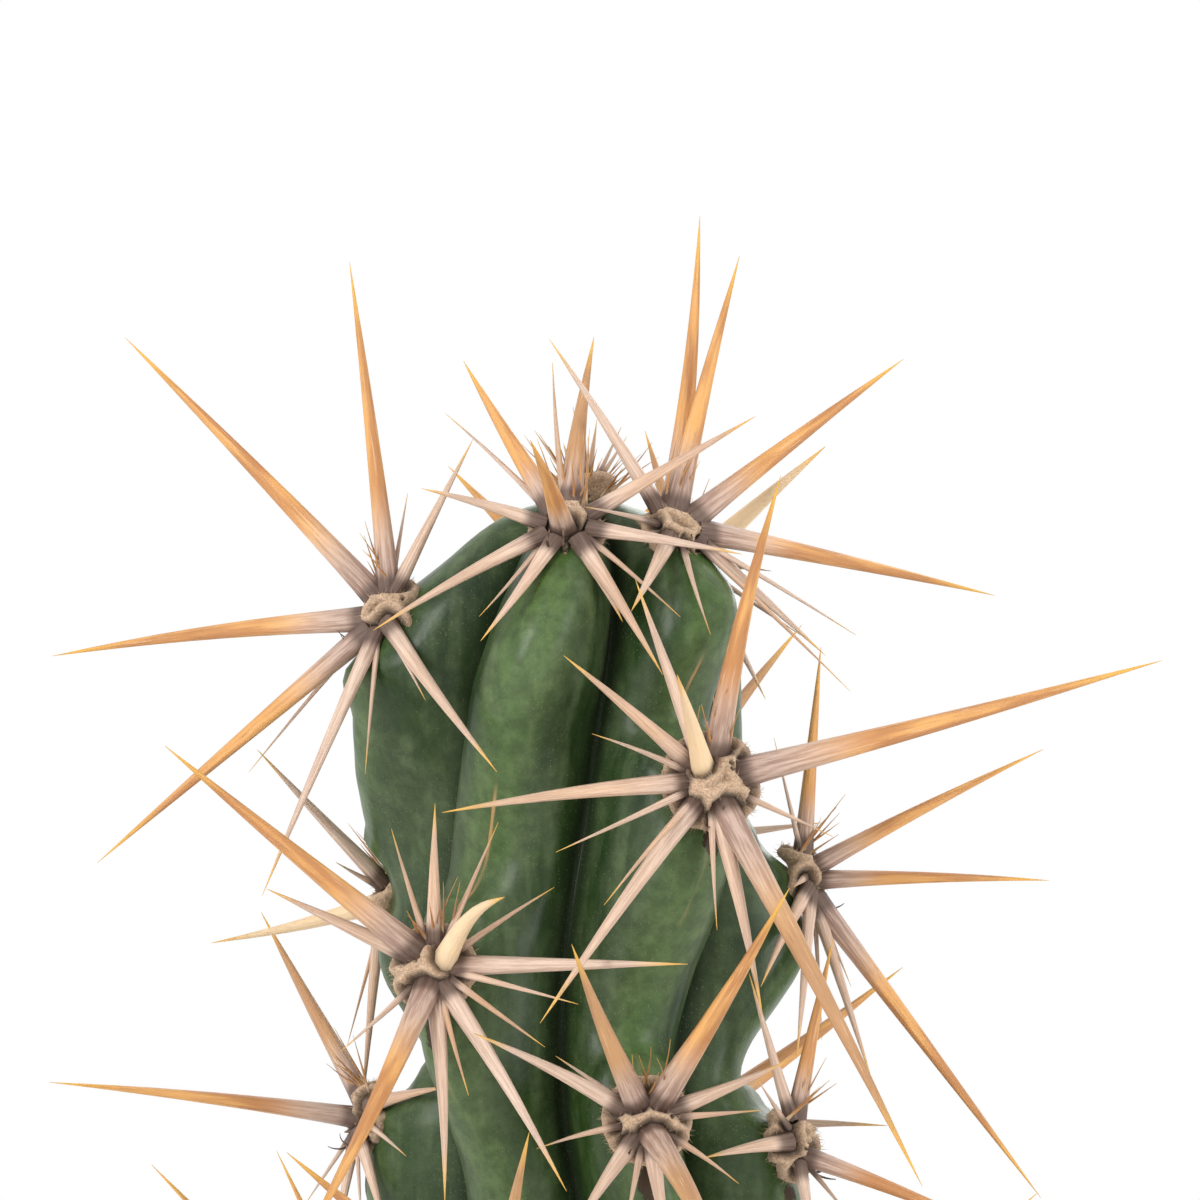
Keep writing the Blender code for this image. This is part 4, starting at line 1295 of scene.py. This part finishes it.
def make_grit_tree():
    tree, takes, gives = new_group(
        "scattered_grit", "GeometryNodeTree",
        {"Soil": ("Geometry", None), "Stones": ("Collection", None),
         "Density": ("Float", 210000.0), "Smallest": ("Float", 0.0006),
         "Largest": ("Float", 0.0022), "Seed": ("Int", 8)},
        {"Grit": ("Geometry", None)})
    here = tree.position()
    edge = wall_radius(SOIL_Z) - POT_WALL - 0.002
    top = tree.product(tree.math("GREATER_THAN", tree.xyz(here)[2], SOIL_Z - 0.0015),
                       tree.math("LESS_THAN", tree.from_axis(here), edge))
    strew = tree.add("GeometryNodeDistributePointsOnFaces", {
        0: takes["Soil"], "Selection": top, "Density": takes["Density"],
        "Seed": takes["Seed"]}).outputs
    spin = tree.dice((-SPIN, -SPIN, -SPIN), (SPIN, SPIN, SPIN), 2)
    grade = tree.math("POWER", tree.dice(0.0, 1.0, 3), 2.6)
    size = tree.sum(takes["Smallest"], tree.product(
        grade, tree.math("SUBTRACT", takes["Largest"], takes["Smallest"])))
    pick = tree.add("FunctionNodeRandomValue", {4: 0, 5: STONE_KINDS - 1, "Seed": 4},
                    data_type="INT").outputs[2]
    stones = tree.add("GeometryNodeCollectionInfo", {
        0: takes["Stones"], 1: True, 2: True}).outputs[0]
    points = tree.store(strew[0], "dice", tree.dice(0.0, 1.0, 1))
    grit = tree.add("GeometryNodeInstanceOnPoints", {
        0: points, "Instance": stones, "Pick Instance": True, "Instance Index": pick,
        "Rotation": tree.add("FunctionNodeEulerToRotation", {0: spin}).outputs[0],
        "Scale": size}).outputs[0]
    tree.put_out(grit, make_grit_finish(), gives["Grit"])
    return tree.group


grit = grow("grit", soil.data.copy(), make_grit_tree(), Stones=stone_kinds())

# %% [markdown]
# ## Studio
# A plant like this shows best on white, under soft light from all sides. The world is white, a
# large soft lamp at the upper left models the ribs, a weaker one at the right opens the shadows,
# and a third from behind lights the edges. The camera stands level with the top of the plant.

# %% Floor, lights and camera
FLOOR_RADIUS, FLOOR_THICKNESS, FLOOR_TURNS = 1.3, 0.01, 128
AIM = Vector((0, 0, 0.30))  # the lamps point at the middle of the plant
LENS = 135
VIEWPOINT = (0.002, -0.6, TIP_Z - 0.0137)


def make_floor():
    made, tree, shader, where = new_material(
        "pale_floor", Roughness=1.0, Specular_IOR_Level=0.0)
    # The floor is painted lighter towards its edge, up to white, so that it fades into the white
    # world: painted light.
    far = tree.ramp(tree.from_axis(where), 0.15, 1.1)
    finish_surface(tree, shader, tree.blend(far, (0.82, 0.82, 0.81), (1.0, 1.0, 1.0)))
    floor = turned("floor", [(0, 0), (FLOOR_RADIUS, 0), (FLOOR_RADIUS, -FLOOR_THICKNESS),
                             (0, -FLOOR_THICKNESS)], FLOOR_TURNS)
    floor.data.shade_flat()
    floor.data.materials.append(made)
    return floor


def soft_lamp(name, place, width, height, power):
    light = bpy.data.lights.new(name, "AREA")
    light.shape, light.size, light.size_y, light.energy = "RECTANGLE", width, height, power
    lamp = bpy.data.objects.new(name, light)
    bpy.context.scene.collection.objects.link(lamp)
    lamp.location = place
    lamp.rotation_euler = (AIM - Vector(place)).to_track_quat("-Z", "Y").to_euler()


def make_camera():
    data = bpy.data.cameras.new("camera")
    data.lens = LENS
    camera = bpy.data.objects.new("camera", data)
    bpy.context.scene.collection.objects.link(camera)
    camera.location = VIEWPOINT
    camera.rotation_euler = (math.pi / 2, 0, 0)
    bpy.context.scene.camera = camera


floor = make_floor()
for lamp_name, place, width, height, power in (
    ("key", (-0.75, -0.95, 0.85), 0.35, 1.0, 10.0),
    ("fill", (1.05, -0.55, 0.6), 0.30, 1.0, 5.0),
    ("edge", (0.25, 1.1, 0.9), 0.9, 0.9, 7.0),
):
    soft_lamp(lamp_name, place, width, height, power)
make_camera()
world = bpy.data.worlds.new("studio")
world.use_nodes = True
world.node_tree.nodes["Background"].inputs["Color"].default_value = (1, 1, 1, 1)
bpy.context.scene.world = world
bpy.context.scene.view_settings.view_transform = "Standard"

# %% [markdown]
# ## Handing the pieces over
# Each row gives a piece, the model's nodes that it stands for and a material slot. Each piece
# rides on the model's one body, and the nodes that it stands for are hidden. The floor is only a
# stage.

# %% Ride and replace
CLUSTERS = ["spines_" + name for name in SEATS]
for piece, nodes, slot in (
    (pot, ["pot"], "clay"), (soil, ["potting_soil"], "soil"), (grit, [], "soil"),
    (stem, ["stem"], "skin"), (spines, CLUSTERS, "spine"), (wool, CLUSTERS, "spine"),
    (fibres, [], "spine"), (bristles, [], "spine"), (scraps, [], "spine"),
):
    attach(piece, "root")
    if nodes:
        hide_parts(*nodes)
for helper in (areole_points, dome):
    bpy.data.objects.remove(helper)
